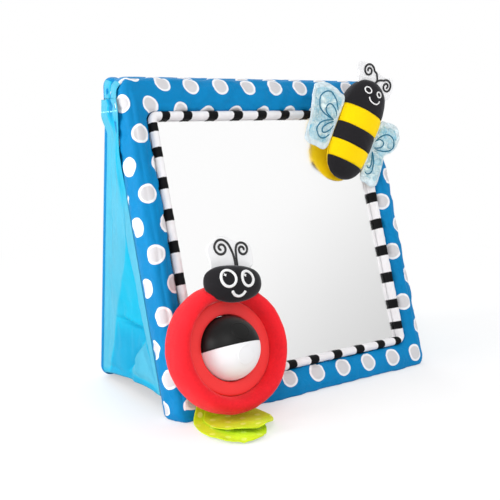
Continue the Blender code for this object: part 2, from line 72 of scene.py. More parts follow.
panelLean = math.radians(18.26)
leanSin, leanCos = math.sin(panelLean), math.cos(panelLean)
panel = makeFrame((0, -0.018, 0), (1, 0, 0), (0, leanSin, leanCos), (0, -leanCos, leanSin))
stand = makeFrame((0, 0.11996, 0.314089), (1, 0, 0), (0, -0.10743, 0.99421), (0, -0.99421, -0.10743))
ladybird = makeFrame(inWorld((-0.1145, 0.0643, 0.0243), panel), *panel["axes"])
ball = makeFrame(ladybird["origin"], (1, 0, 0), (0, 0.41882, 0.90807), (0, -0.90807, 0.41882))
bee = makeFrame((0.1102, 0.054417, 0.269269), (0.91053, -0.04158, -0.41135),
                (0.41047, -0.02817, 0.91144), (-0.04949, -0.99874, -0.00858))
leftWing = makeFrame((0.092309, 0.055042, 0.299618), *bee["axes"])
rightWing = makeFrame((0.143032, 0.052765, 0.272096), (0.85067, -0.34817, -0.39387), bee["axes"][1],
                      (-0.32843, -0.93701, 0.11895))


# Mesh helpers

def meshFromGrids(name, grids):
    # Joins grids of points into one mesh; each has its wraps and, if it has one, its map of the cloth
    places, faces, maps, offset = [], [], [], 0
    for points, wrapRows, wrapColumns, flat in grids:
        rows, columns = points.shape[:2]
        i, j = np.meshgrid(np.arange(rows - (not wrapRows)), np.arange(columns - (not wrapColumns)), indexing="ij")
        corners = ((i, j), (i, j + 1), (i + 1, j + 1), (i + 1, j))
        ends = [row % rows * columns + column % columns for row, column in corners]
        faces.append(np.stack(ends, axis=-1).reshape(-1, 4) + offset)
        places.append(points.reshape(-1, 3))
        offset += len(places[-1])
        spots = [np.zeros(i.shape + (2,)) if flat is None else flat[corner] for corner in corners]
        maps.append(np.stack(spots, axis=2).reshape(-1, 4, 2))
    data = bpy.data.meshes.new(name)
    data.from_pydata(np.concatenate(places), [], np.concatenate(faces))
    data.uv_layers.new(name="cloth").data.foreach_set("uv", np.concatenate(maps).reshape(-1))
    return data


def addPiece(name, made, material, body=None, nodeName=None, wall=None):
    data = made if isinstance(made, bpy.types.Mesh) else meshFromGrids(name, made)
    shape = bmesh.new()
    shape.from_mesh(data)
    bmesh.ops.remove_doubles(shape, verts=shape.verts, dist=0.000002)
    bmesh.ops.recalc_face_normals(shape, faces=shape.faces)
    shape.to_mesh(data)
    shape.free()
    data.shade_smooth()
    data.materials.append(material)
    piece = bpy.data.objects.new(name, data)
    scene.collection.objects.link(piece)
    if body:
        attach(piece, body)
    if nodeName:
        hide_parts(nodeName)
    if wall:
        giveThickness(piece, wall)
    return piece


def giveThickness(piece, thickness, offset=-1.0):
    wall = piece.modifiers.new("cloth wall", "SOLIDIFY")
    wall.thickness = thickness
    wall.offset = offset


def ripple(points, scale, seed, octaves=3):
    # Smooth unevenness between about -1 and 1: sines along seeded directions, each octave finer and weaker
    seeded = np.random.default_rng(seed)
    total, weight = np.zeros(points.shape[:-1]), 0.0
    for octave in range(octaves):
        for wave in range(4):
            direction = seeded.normal(size=points.shape[-1])
            direction /= np.linalg.norm(direction)
            pace = 2 * math.pi * 1.9 ** octave / scale
            total += 0.6 ** octave * np.sin(points @ direction * pace + seeded.uniform(0, 2 * math.pi))
        weight += 0.6 ** octave
    return total / (2 * weight)


def smoothStep(low, high, value):
    share = np.clip((value - low) / (high - low), 0, 1)
    return share * share * (3 - 2 * share)


def circle(count):
    return 2 * math.pi * np.arange(count) / count


def together(*values):
    return np.stack(np.broadcast_arrays(*values), axis=-1)


def firstAgain(flat):
    # A closed map ends with its first column
    return np.concatenate((flat, flat[:, :1]), axis=1)


def unit(vectors):
    return vectors / np.maximum(np.linalg.norm(vectors, axis=-1, keepdims=True), 1e-12)


def surfaceNormals(points, wrapRows=False, wrapColumns=False):
    # Unit cross products of the differences along a grid's two directions
    def difference(axis, wrap):
        if wrap:
            return np.roll(points, -1, axis) - np.roll(points, 1, axis)
        return np.gradient(points, axis=axis)
    return unit(np.cross(difference(1, wrapColumns), difference(0, wrapRows)))


def roundedLoop(halfWidth, low, high, radius, sideSteps, cornerSteps):
    # A rounded rectangle's points and outward directions, anticlockwise from the left end of its lower side
    places, outwards = [], []
    share = np.arange(sideSteps)[:, None] / sideSteps
    angle = np.radians(np.arange(cornerSteps) * 90 / cornerSteps)
    centres = [np.array([x * (halfWidth - radius), low + radius if y < 0 else high - radius])
               for x, y in ((-1, -1), (1, -1), (1, 1), (-1, 1))]
    for side, out in enumerate(np.array([(0.0, -1.0), (1.0, 0.0), (0.0, 1.0), (-1.0, 0.0)])):
        following = np.array([-out[1], out[0]])
        start, end = centres[side] + out * radius, centres[(side + 1) % 4] + out * radius
        arc = np.cos(angle)[:, None] * out + np.sin(angle)[:, None] * following
        places += [start + (end - start) * share, centres[(side + 1) % 4] + radius * arc]
        outwards += [np.repeat(out[None], sideSteps, 0), arc]
    return np.concatenate(places), np.concatenate(outwards)


def cubic(knots, k, f):
    # Each stretch is a Catmull-Rom cubic of its ends and their neighbours
    a, b, c, d = (knots[(k + step) % len(knots)] for step in (-1, 0, 1, 2))
    return 0.5 * (2 * b + (c - a) * f + (2 * a - 5 * b + 4 * c - d) * f ** 2 + (3 * b - a - 3 * c + d) * f ** 3)


def smoothLoop(corners, count):
    place = np.arange(count) * len(corners) / count
    k = place.astype(int)
    return cubic(np.array(corners, float), k, (place - k)[:, None])


def smoothPath(corners, count):
    # An open curve, with its end points doubled
    knots = np.array((corners[0], *corners, corners[-1]), float)
    place = np.linspace(1, len(knots) - 2, count)
    k = np.minimum(place.astype(int), len(knots) - 3)
    return cubic(knots, k, (place - k)[:, None])


def tubeGrid(path, radius, normal, closed=False, sides=8):
    # A round section carried along a path: its two directions are the surface normal and the normal's cross
    # product with the path. An open tube closes to a point at its ends.
    path = np.asarray(path, float)
    along = unit(np.roll(path, -1, 0) - np.roll(path, 1, 0) if closed else np.gradient(path, axis=0))
    across = unit(np.cross(along, np.broadcast_to(np.asarray(normal, float), path.shape)))
    lifted = np.cross(across, along)
    angle = circle(sides)
    size = np.full(len(path), radius)
    if not closed:
        size[0] = size[-1] = 0
    ring = across[:, None] * np.cos(angle)[None, :, None] + lifted[:, None] * np.sin(angle)[None, :, None]
    return path[:, None] + ring * size[:, None, None], closed, True, None


def lathe(profile, place, steps):
    # A closed profile of radius and height turned about a frame's out axis
    angle = circle(steps)
    radius, height = np.array(profile, float).T
    return inWorld(np.stack((radius[:, None] * np.cos(angle), radius[:, None] * np.sin(angle),
                             np.repeat(height[:, None], steps, 1)), axis=-1), place)


def discRows(outline, centre, shares):
    return centre + (outline - centre) * np.asarray(shares)[:, None, None]


def atHeight(flat, out):
    return np.concatenate((flat, np.broadcast_to(np.asarray(out)[:, None, None], flat.shape[:2] + (1,))), axis=-1)


def readPoints(piece, what="co"):
    values = np.empty(len(piece.data.vertices) * 3)
    piece.data.vertices.foreach_get(what, values)
    return values.reshape(-1, 3)


def puffUp(piece, pinned, values, hold):
    # Lets Blender's Cloth blow a piece up between its pinned seams, then holds each point near its start
    group = piece.vertex_groups.new(name="pinned")
    group.add(pinned.tolist(), 1.0, "REPLACE")
    cloth = piece.modifiers.new("cloth", "CLOTH")
    for key in ("quality", "mass", "tension_stiffness", "compression_stiffness", "bending_stiffness",
                "uniform_pressure_force", "shrink_min"):
        setattr(cloth.settings, key, values[key])
    cloth.settings.use_pressure = True
    cloth.settings.effector_weights.gravity = 0
    cloth.settings.vertex_group_mass = "pinned"
    cloth.collision_settings.use_collision = False
    start = readPoints(piece)
    for number in range(1, values["frames"] + 1):
        scene.frame_set(number)
    moved = readPoints(piece.evaluated_get(bpy.context.evaluated_depsgraph_get())) - start
    piece.modifiers.remove(cloth)
    piece.vertex_groups.remove(group)
    scene.frame_set(1)
    length = np.linalg.norm(moved, axis=1, keepdims=True)
    moved *= values["cap"] * np.tanh(length / values["cap"]) / np.maximum(length, 1e-9)
    normals = readPoints(piece, "normal")
    # The stuffing stops the cloth at the sink, and the seams let it slip sideways only a little
    outwards = (moved * normals).sum(axis=1, keepdims=True)
    moved = normals * np.maximum(outwards, -values["sink"]) + (moved - normals * outwards) * values["slip"]
    piece.data.vertices.foreach_set("co", hold(start + moved).reshape(-1))
    piece.data.update()


# Shader helpers and the groups that several materials use

def plug(tree, made, inputs):
    # Each input takes a value or another node's output; i0 and i1 name inputs by number
    for key, value in inputs.items():
        socket = made.inputs[int(key[1:]) if key[0] == "i" and key[1:].isdigit() else key.replace("_", " ")]
        if isinstance(value, bpy.types.NodeSocket):
            tree.links.new(value, socket)
        else:
            socket.default_value = value
    return made.outputs


def node(tree, kind, settings=None, **inputs):
    made = tree.nodes.new("ShaderNode" + kind)
    for key, value in (settings or {}).items():
        setattr(made, key, value)
    return plug(tree, made, inputs)


def maths(tree, operation, *values, clamp=False):
    return node(tree, "Math", {"operation": operation, "use_clamp": clamp},
                **{"i%d" % number: value for number, value in enumerate(values)})[0]


def span(tree, value, low, high, kind="LINEAR", first=0.0, last=1.0):
    return node(tree, "MapRange", {"interpolation_type": kind}, i0=value, i1=low, i2=high, i3=first, i4=last)[0]


def rgba(colour):
    return colour if isinstance(colour, bpy.types.NodeSocket) else (*colour, 1)


def mixed(tree, share, first, second):
    return node(tree, "Mix", {"data_type": "RGBA"}, i0=share, i6=rgba(first), i7=rgba(second))[2]


def noise(tree, place, scale, detail, **inputs):
    return node(tree, "TexNoise", Vector=place, Scale=scale, Detail=detail, **inputs)["Fac"]


def newGroup(name, inputs, outputs):
    # An input without a value is a vector, one with four numbers a colour
    tree = bpy.data.node_groups.new(name, "ShaderNodeTree")
    for label, value in inputs.items():
        kind = "Vector" if value is None else "Color" if isinstance(value, tuple) else "Float"
        socket = tree.interface.new_socket(name=label, in_out="INPUT", socket_type="NodeSocket" + kind)
        if value is not None:
            socket.default_value = value
    for label in outputs:
        kind = "Color" if label == "Color" else "Float"
        tree.interface.new_socket(name=label, in_out="OUTPUT", socket_type="NodeSocket" + kind)
    return tree, tree.nodes.new("NodeGroupInput").outputs, tree.nodes.new("NodeGroupOutput")


def useGroup(tree, group, **inputs):
    made = tree.nodes.new("ShaderNodeGroup")
    made.node_tree = group
    return plug(tree, made, inputs)


def makeWeave():
    # Bands of thread along the three axes
    tree, given, out = newGroup("clothWeave", {"Place": None, "Threads": 900.0}, ("Height",))
    size = node(tree, "VectorMath", {"operation": "SCALE"}, i0=given["Place"], Scale=given["Threads"])[0]
    warp, weft, upright = (node(tree, "TexWave", {"bands_direction": axis}, Vector=size, Scale=1.0,
                                Distortion=0.4)["Fac"] for axis in "XYZ")
    plug(tree, out, {"Height": maths(tree, "ADD", maths(tree, "MAXIMUM", warp, weft), upright)})
    return tree


def makeCreases():
    # Soft pulls and creases in cloth: a distorted noise for the height, and its shade
    tree, given, out = newGroup("clothCreases", {"Place": None, "Scale": 30.0, "Crispness": 0.5}, ("Height", "Shade"))
    pulls = noise(tree, given["Place"], given["Scale"], 4.0, Roughness=given["Crispness"], Distortion=0.8)
    ridge = maths(tree, "ABSOLUTE", maths(tree, "SUBTRACT", pulls, 0.5))
    plug(tree, out, {"Height": maths(tree, "POWER", ridge, 0.7), "Shade": span(tree, pulls, 0.3, 0.7)})
    return tree


def makeTone():
    # A colour made a little lighter and darker in patches, with a finer speckle over them
    tree, given, out = newGroup("unevenTone", {"Color": (1, 1, 1, 1), "Place": None, "Scale": 20.0, "Amount": 0.08},
                                ("Color",))
    broad = noise(tree, given["Place"], given["Scale"], 3.0)
    speckle = noise(tree, given["Place"], maths(tree, "MULTIPLY", given["Scale"], 14.0), 2.0)
    centred = maths(tree, "SUBTRACT", maths(tree, "MULTIPLY_ADD", speckle, 0.4, broad), 0.7)
    value = maths(tree, "MULTIPLY_ADD", maths(tree, "MULTIPLY", centred, given["Amount"]), 4.0, 1.0)
    plug(tree, out, {"Color": node(tree, "HueSaturation", Color=given["Color"], Value=value)[0]})
    return tree


def makeNap():
    # Short pile: fine cells for the tufts over broader lies of the pile
    tree, given, out = newGroup("plushNap", {"Place": None, "Tufts": 1400.0}, ("Height",))
    tufts = noise(tree, given["Place"], given["Tufts"], 2.0)
    lie = noise(tree, given["Place"], 45.0, 3.0, Distortion=1.2)
    plug(tree, out, {"Height": maths(tree, "MULTIPLY_ADD", lie, 1.2, tufts)})
    return tree


def makeMarks():
    # Handling marks on hard pieces: long faint scratches and cloudy smears that change the gloss
    tree, given, out = newGroup("handlingMarks", {"Place": None, "Base": 0.3, "Amount": 0.1}, ("Roughness", "Height"))
    smear = noise(tree, given["Place"], 38.0, 5.0, Roughness=0.6)
    stretched = node(tree, "Mapping", Vector=given["Place"], Scale=(40.0, 900.0, 900.0), Rotation=(0.3, 0.2, 0.9))[0]
    fine = span(tree, noise(tree, stretched, 1.0, 2.0), 0.62, 0.72, last=0.5)
    plug(tree, out, {"Roughness": maths(tree, "MULTIPLY_ADD", maths(tree, "ADD", smear, fine), given["Amount"],
                                        given["Base"]), "Height": fine})
    return tree


weaveGroup, creaseGroup, toneGroup = makeWeave(), makeCreases(), makeTone()
napGroup, marksGroup = makeNap(), makeMarks()


def startMaterial(name, colour, **sockets):
    # A material with its Principled shader's plain values set on the sockets themselves
    made = bpy.data.materials.new(name)
    made.use_nodes = True
    made.diffuse_color = (*colour, 1)
    tree = made.node_tree
    shader = tree.nodes["Principled BSDF"]
    plug(tree, shader, sockets)
    place = node(tree, "TexCoord")
    return made, tree, shader, place["Object"], place["UV"]


def toned(tree, colour, place, scale, amount):
    return useGroup(tree, toneGroup, Color=rgba(colour), Place=place, Scale=scale, Amount=amount)[0]


def creased(tree, place, scale, crispness):
    made = useGroup(tree, creaseGroup, Place=place, Scale=scale, Crispness=crispness)
    return made["Height"], made["Shade"]


def woven(tree, place, threads):
    return useGroup(tree, weaveGroup, Place=place, Threads=threads)[0]


def finishSkin(tree, shader, colour, *layers):
    # The colour, and bump nodes one over another, each with its height, strength and distance
    tree.links.new(colour, shader.inputs["Base Color"])
    normal = {}
    for height, strength, distance in layers:
        normal = {"Normal": node(tree, "Bump", Strength=strength, Distance=distance, Height=height, **normal)[0]}
    plug(tree, shader, normal)


def clothMaterial(name, colour, roughness, tone=0.06, threads=900.0, creases=0.3, creaseScale=40.0):
    made, tree, shader, place, flat = startMaterial(name, colour, Sheen_Weight=0.2, Sheen_Roughness=0.4,
                                                    Roughness=roughness, Specular_IOR_Level=0.4)
    finishSkin(tree, shader, toned(tree, colour, place, 22.0, tone),
               (creased(tree, place, creaseScale, 0.45)[0], creases, 0.003),
               (woven(tree, place, threads), 0.35, 0.0002))
    return made


def plushMaterial(name, colour, sheen, sheenTint, tone, tufts, nap):
    made, tree, shader, place, flat = startMaterial(name, colour, Sheen_Weight=sheen, Sheen_Roughness=0.35,
                                                    Sheen_Tint=rgba(sheenTint), Roughness=0.9,
                                                    Specular_IOR_Level=0.15)
    pile = useGroup(tree, napGroup, Place=place, Tufts=tufts)[0]
    finishSkin(tree, shader, toned(tree, colour, place, 30.0, tone), (pile, nap, 0.0008))
    return made


def plasticMaterial(name, colour, roughness, specular=0.3, metallic=0.0, marks=0.06):
    made, tree, shader, place, flat = startMaterial(name, colour, Specular_IOR_Level=specular, Metallic=metallic)
    worn = useGroup(tree, marksGroup, Place=place, Base=roughness, Amount=marks)
    plug(tree, shader, {"Roughness": worn["Roughness"]})
    finishSkin(tree, shader, toned(tree, colour, place, 12.0, 0.02), (worn["Height"], 0.05, 0.0001))
    return made


print("shader groups made")


# Dotted cover of the front panel

coverLook = {
    "halfWidth": 0.1655, "height": 0.3425, "cornerRadius": 0.014, "edgeRadius": 0.0072, "rear": -0.0309,
    "windowHalfWidth": 0.1423, "windowLow": 0.0288, "windowHigh": 0.3075, "windowRadius": 0.012,
    "faceDrop": 0.0018, "sideCrown": 0.0015, "wall": 0.0008, "sideSteps": 76, "cornerSteps": 12,
    "swell": 0.0003, "folds": 0.0008, "wrinkles": 0.0005, "deepest": -0.0002, "proudest": 0.0026,
    "underLeaf": 0.0002, "patchReach": 0.014, "patchSlope": 0.03, "floorGap": 0.0002,
    "dotSpacing": 0.03608, "dotRise": 0.0598, "dotRadius": 0.0096, "dots": ((0.0, 0.135), (0.01804, 0.165)),
    # Each bar's pattern: its shift, its slope along the bar and the bar's middle
    "barShifts": (((-0.0041, -0.0058), (-0.0066, 0.0275), -0.032), ((-0.0013, -0.0012), (0.0165, 0.0), 0.2),
                  ((-0.0005, 0.0116), (0.016, 0.0), 0.0185), ((0.0018, 0.0004), (-0.0558, 0.0), 0.1046)),
    "cornerBlend": 13, "cornerMoves": (0, 0, -12, 0), "plainSpot": (0.01804, 0.135), "plainRows": 2,
    # Single dots that lie elsewhere: where and how far
    "nudges": (((-0.1546, 0.3385), (0.0, -0.0055)), ((-0.1216, 0.3330), (0.0, 0.0025)),
               ((-0.1380, 0.3130), (0.0041, -0.0010)), ((-0.1690, 0.3120), (-0.0030, -0.0033))), "nudgeReach": 0.013,
    "blue": (0.0, 0.215, 0.5), "white": (0.88, 0.88, 0.9), "dotGrey": (0.64, 0.63, 0.65),
    "patches": ((-0.155, 0.034), (0.1275, 0.3175)),
    "puff": {"quality": 4, "mass": 0.3, "tension_stiffness": 12.0, "compression_stiffness": 12.0,
             "bending_stiffness": 0.6, "uniform_pressure_force": 3.0, "shrink_min": -0.035, "frames": 14,
             "cap": 0.0024, "sink": 0.0002, "slip": 0.12}}


def nearestDot(tree, flat, offsets, spacing, rise):
    # Distance to the nearest point of two upright rectangular lattices
    near = []
    for offset in offsets:
        shifted = node(tree, "VectorMath", {"operation": "SUBTRACT"}, i0=flat, i1=(*offset, 0.0))[0]
        wrapped = node(tree, "VectorMath", {"operation": "WRAP"}, i0=shifted, i1=(spacing / 2, rise / 2, 1.0),
                       i2=(-spacing / 2, -rise / 2, -1.0))[0]
        near.append(node(tree, "VectorMath", {"operation": "LENGTH"}, i0=wrapped)["Value"])
    return maths(tree, "MINIMUM", *near)


def makeDottedCloth(name, look):
    made, tree, shader, place, flat = startMaterial(name, look["blue"], Roughness=0.5, Specular_IOR_Level=0.12)
    distance = nearestDot(tree, flat, look["dots"], look["dotSpacing"], look["dotRise"])
    frayed = maths(tree, "MULTIPLY_ADD", noise(tree, place, 260.0, 2.0), 0.0004, distance)
    radius = look["dotRadius"]
    dot = span(tree, frayed, radius + 0.0004, radius, "SMOOTHSTEP")
    middle = span(tree, frayed, radius - 0.0012, radius - 0.003, "SMOOTHSTEP")
    colour = mixed(tree, dot, toned(tree, look["blue"], place, 18.0, 0.07),
                   mixed(tree, middle, look["white"], look["dotGrey"]))
    finishSkin(tree, shader, colour, (creased(tree, place, 34.0, 0.4)[0], 0.4, 0.003),
               (woven(tree, place, 850.0), 0.3, 0.0002), (dot, 0.3, 0.0003))
    return made


def shiftPattern(flat, look):
    # The cloth lies differently on each bar, and each bar's weight falls off smoothly round the corners
    turn = look["sideSteps"] + look["cornerSteps"]
    column = np.arange(4 * turn)
    ends = np.arange(4) * turn + look["sideSteps"] + look["cornerSteps"] / 2 + np.array(look["cornerMoves"])
    moved, total = np.zeros_like(flat), 0.0
    for number, (shift, slope, middle) in enumerate(look["barShifts"]):
        start = ends[number - 1] - (4 * turn if number == 0 else 0)
        half, centre = (ends[number] - start) / 2, (ends[number] + start) / 2
        away = np.abs((column - centre + 2 * turn) % (4 * turn) - 2 * turn)
        weight = smoothStep(half + look["cornerBlend"], half - look["cornerBlend"], away)[None, :, None]
        along = (flat[..., number % 2] - middle)[..., None]
        moved += weight * (np.array(shift) + along * np.array(slope))
        total = total + weight
    moved = moved / total
    for place, change in look["nudges"]:
        near = np.exp(-(np.linalg.norm(flat - np.array(place), axis=-1) / look["nudgeReach"]) ** 2)
        moved = moved + near[..., None] * np.array(change)
    return flat + moved


def bindEdge(data, first, last, columns):
    # Faces between two rows of a grid get one dotless place of the cloth, as a plain bound edge
    places = np.empty(len(data.loops) * 2)
    data.uv_layers[0].data.foreach_get("uv", places)
    places.reshape(-1, 2)[first * columns * 4:last * columns * 4] = coverLook["plainSpot"]
    data.uv_layers[0].data.foreach_set("uv", places)


def makeCover(look):
    # A section of inset and height is carried round between the panel's outline and the window's: up the side,
    # round the edge, over the crowned face, round the inner edge and down the window's wall. Its map carries
    # the cloth's own distance on beyond the face's edges.
    steps, radius, drop = (look["sideSteps"], look["cornerSteps"]), look["edgeRadius"], look["faceDrop"]
    quarter = radius * math.pi / 2
    arc = np.radians(np.linspace(0, 90, 7))
    sideOut = np.linspace(look["rear"], -drop - radius, 9)[:-1]
    sideShare = (sideOut - sideOut[0]) / (sideOut[-1] - sideOut[0])
    sideInset = -look["sideCrown"] * np.sin(math.pi * sideShare)
    outline = lambda inset: roundedLoop(look["halfWidth"] - inset, inset, look["height"] - inset,
                                        look["cornerRadius"] - min(inset, radius), *steps)
    window = lambda grow: roundedLoop(look["windowHalfWidth"] + grow, look["windowLow"] - grow,
                                      look["windowHigh"] + grow, look["windowRadius"] + grow, *steps)
    arcInset, arcOut = radius * (1 - np.cos(arc)), -drop - radius * (1 - np.sin(arc))
    (edge, outwards), (inner, inwards) = outline(radius), window(radius)
    rows = [(outline(inset)[0], out, edge + outwards * (quarter + arcOut[0] - out))
            for inset, out in zip(sideInset, sideOut)]
    rows += [(outline(inset)[0], out, edge + outwards * (quarter - radius * angle))
             for inset, out, angle in zip(arcInset, arcOut, arc)]
    for share in np.linspace(0, 1, 18)[1:-1]:
        between = edge + (inner - edge) * share
        rows.append((between, -drop * (2 * share - 1) ** 2, between))
    rows += [(window(inset)[0], out, inner - inwards * (quarter - radius * angle))
             for inset, out, angle in zip(arcInset[::-1], arcOut[::-1], arc[::-1])]
    rows += [(window(0)[0], out, inner - inwards * (quarter + arcOut[0] - out))
             for out in np.linspace(arcOut[0], look["rear"], 7)[1:]]
    flats, outs, maps = (np.array(values) for values in zip(*rows))
    points = atHeight(flats, outs)
    flat = firstAgain(shiftPattern(maps, look))
    bumpy = look["swell"] + ripple(points, 0.055, 4) * look["folds"] + ripple(points, 0.022, 5) * look["wrinkles"]
    number = np.arange(len(points))
    fade = (smoothStep(0, 5, number) * smoothStep(0, 9, number[::-1]))[:, None]
    bumpy = np.maximum(bumpy, look["deepest"]) * fade
    points = points + surfaceNormals(points, False, True) * bumpy[..., None]
    data = meshFromGrids("dottedCover", [(inWorld(points, panel), False, True, flat)])
    bindEdge(data, 0, look["plainRows"], points.shape[1])
    return data, np.repeat(number, points.shape[1])


def pressedCover(points):
    # The toys' patches press the cloth flat where they lie, and the floor stops it below
    look, local = coverLook, inPlace(points, panel)
    underLeaf = smoothStep(0.045, 0.03, local[:, 1]) * smoothStep(-0.07, -0.085, local[:, 0])
    most = look["proudest"] + (look["underLeaf"] - look["proudest"]) * underLeaf
    local[:, 2] = np.minimum(local[:, 2], most)
    for across, up in look["patches"]:
        near = np.hypot(local[:, 0] - across, local[:, 1] - up)
        rising = look["patchSlope"] * np.maximum(near - look["patchReach"], 0)
        local[:, 2] = np.minimum(local[:, 2], 0.0001 + rising)
    placed = inWorld(local, panel)
    placed[:, 2] = np.maximum(placed[:, 2], look["floorGap"])
    return placed


dottedCloth = makeDottedCloth("dottedCloth", coverLook)
coverData, coverRows = makeCover(coverLook)
cover = addPiece("dottedCover", coverData, dottedCloth, "front_panel", "front_cover")
cover.data.vertices.foreach_set("co", pressedCover(readPoints(cover)).reshape(-1))
puffUp(cover, np.flatnonzero((coverRows < 2) | (coverRows > coverRows[-1] - 6)), coverLook["puff"], pressedCover)
giveThickness(cover, coverLook["wall"])
print("cover made")


# Striped piping round the window

pipingLook = {
    "radius": 0.0046, "inset": 0.0061, "out": -0.0068, "rise": 0.0062, "rest": -0.0086, "raised": 0.0019,
    "lowered": 0.0010, "windowRadius": 0.0059, "blackShare": 0.37, "white": (0.86, 0.85, 0.87),
    "black": (0.004, 0.004, 0.005),
    # How many black marks have been passed at each length of the way round
    "marks": ((0.0, -4.65), (0.1347, 0), (0.2308, 3), (0.2563, 4), (0.2791, 5), (0.3036, 6), (0.4291, 10),
              (0.6037, 16), (0.7589, 21), (0.7833, 22), (0.8069, 23), (0.8319, 24), (0.9587, 28), (1.0649, 31.35))}


def makeStripes(name, look):
    made, tree, shader, place, flat = startMaterial(name, look["white"], Roughness=0.6, Specular_IOR_Level=0.12)
    count = node(tree, "SeparateXYZ", Vector=flat)["X"]
    frayed = maths(tree, "MULTIPLY_ADD", noise(tree, place, 700.0, 1.0), 0.03, count)
    away = maths(tree, "ABSOLUTE", maths(tree, "WRAP", frayed, 0.5, -0.5))
    half = look["blackShare"] / 2
    black = span(tree, away, half + 0.012, half - 0.012, "SMOOTHSTEP")
    colour = toned(tree, mixed(tree, black, look["white"], look["black"]), place, 60.0, 0.05)
    ribs = node(tree, "TexWave", {"bands_direction": "X"}, Vector=flat, Scale=14.0, Distortion=1.5)["Fac"]
    finishSkin(tree, shader, colour, (ribs, 0.25, 0.0004), (woven(tree, place, 1000.0), 0.3, 0.0002))
    return made


def makePiping(look):
    # A round section carried along the window's edge, with slight lumps where its cord shows through
    path, outwards = roundedLoop(coverLook["windowHalfWidth"] - look["inset"],
                                 coverLook["windowLow"] + look["inset"] - look["lowered"],
                                 coverLook["windowHigh"] - look["inset"] + look["raised"], look["windowRadius"],
                                 150, 12)
    length = np.concatenate(([0], np.cumsum(np.linalg.norm(np.roll(path, -1, 0) - path, axis=1))))
    marks = np.array(look["marks"])
    count = np.interp(length, marks[:, 0] * length[-1] / marks[-1, 0], marks[:, 1])
    angle = circle(20)
    lumps = 1 + 0.02 * np.sin(2 * math.pi * count[:-1] * 3) + 0.015 * ripple(path, 0.02, 9)
    size = look["radius"] * (lumps - 0.03)
    points = np.empty((len(path), 20, 3))
    points[..., :2] = path[:, None] + outwards[:, None] * (np.cos(angle)[None, :] * size[:, None])[..., None]
    height = look["out"] + np.sin(angle)[None, :] * (look["rise"] * size / look["radius"])[:, None]
    points[..., 2] = np.maximum(height, look["rest"] + 0.0002 * np.cos(angle)[None, :])
    flat = np.stack(np.meshgrid(count, np.arange(21) / 20, indexing="ij"), axis=-1)
    return [(inWorld(points, panel), True, True, flat)]


addPiece("stripedPiping", makePiping(pipingLook), makeStripes("stripedRibbon", pipingLook), "front_panel",
         "window_piping")
print("piping made")


# Sky-blue satin of the gussets and the strip's ends

gussetLook = {
    "padHalf": 0.1649, "padLow": 0.0301, "padTop": 0.335, "padOut": -0.0328, "lapSide": 0.0054, "topDip": 0.0125,
    "standHalf": 0.1643, "standLow": -0.3099, "standTop": -0.013, "standOut": -0.0009, "standFoot": -0.3152,
    "footRadius": 0.012, "flareSide": 0.0040, "flareOut": 0.0066, "length": 0.31, "wall": 0.0006,
    "fullWidth": 0.030, "foldShare": 1.3, "flapDepth": 0.0035, "unevenness": 0.0014, "pucker": 0.0014,
    "footLift": 0.004, "pale": (0.078, 0.40, 0.56), "foldShadeBlue": (0.0, 0.395, 0.60),
    "shade": (0.0, 0.14, 0.40), "stitch": (0.35, 0.8, 0.95),
    "lapShares": (0.0, 0.66, 0.70, 0.766, 0.842, 0.916, 0.97, 1.0),
    "lap": (0.0, 0.0, 0.002, 0.009, 0.014, 0.020, 0.0235, 0.0235),
    "pleatShares": (0.0, 0.05, 0.16, 0.23, 0.36, 0.53, 0.66, 0.89, 1.0),
    "stripEdge": (0.03, 0.05, 0.10, 0.11, 0.14, 0.24, 0.18, 0.15, 0.12),
    "pleatEdge": (0.90, 0.86, 0.77, 0.73, 0.54, 0.29, 0.32, 0.35, 0.4),
    "pleatDepth": (0.0, 0.005, 0.010, 0.0115, 0.0085, 0.002, 0.003, 0.003, 0.001),
    "flap": ((0.266, 0.160), (0.56, 0.026), (0.05, 0.012)),
    # Each fold runs from one place along and up the gusset to another, with its height and spread
    "folds": ((0.70, 0.225, 0.12, 0.185, 0.0052, 0.014), (0.55, 0.235, 0.16, 0.200, -0.0042, 0.012),
              (0.27, 0.15, 0.54, 0.028, 0.0055, 0.018), (0.30, 0.15, 0.33, 0.035, -0.0045, 0.014),
              (0.86, 0.30, 0.93, 0.04, 0.0028, 0.030), (0.50, 0.62, 0.62, 0.98, 0.0026, 0.030),
              (0.78, 0.45, 0.80, 0.95, 0.0020, 0.030), (0.20, 0.80, 0.50, 0.99, 0.0024, 0.020),
              (0.95, 0.62, 0.60, 0.54, 0.0016, 0.018), (0.62, 0.02, 0.97, 0.035, 0.0022, 0.012),
              (0.35, 0.52, 0.50, 0.40, 0.0018, 0.016), (0.05, 0.97, 0.95, 0.985, 0.0016, 0.012))}


def makeGussetCloth(name, look):
    made, tree, shader, place, flat = startMaterial(name, look["pale"], Roughness=0.45, Specular_IOR_Level=0.15)
    # Painted shade: the fold mask, with a little of the creases' shade, mixes in a deeper, darker blue where cloth is
    # folded inwards, and darker still in its valleys
    paintedFoldShade = node(tree, "Attribute", {"attribute_name": "paintedFoldShade"})["Fac"]
    height, shade = creased(tree, place, 22.0, 0.35)
    foldShadeShare = maths(tree, "MULTIPLY_ADD", shade, 0.25, paintedFoldShade, clamp=True)
    foldShadedColour = mixed(tree, span(tree, paintedFoldShade, 1.0, 2.0), mixed(tree, foldShadeShare, look["pale"], look["foldShadeBlue"]), look["shade"])
    up = node(tree, "SeparateXYZ", Vector=flat)["Y"]
    bands = node(tree, "TexWave", {"bands_direction": "X"}, Vector=flat, Scale=9.0)["Fac"]
    seam = maths(tree, "MULTIPLY", maths(tree, "GREATER_THAN", bands, 0.4), maths(tree, "COMPARE", up, 0.957, 0.0022))
    finishSkin(tree, shader, mixed(tree, seam, toned(tree, foldShadedColour, place, 14.0, 0.05), look["stitch"]),
               (height, 0.45, 0.003), (span(tree, up, 0.955, 0.958), 0.4, 0.0006), (seam, 0.4, 0.0003),
               (woven(tree, place, 1100.0), 0.2, 0.0002))
    return made


# Hinge strip over the stand's top

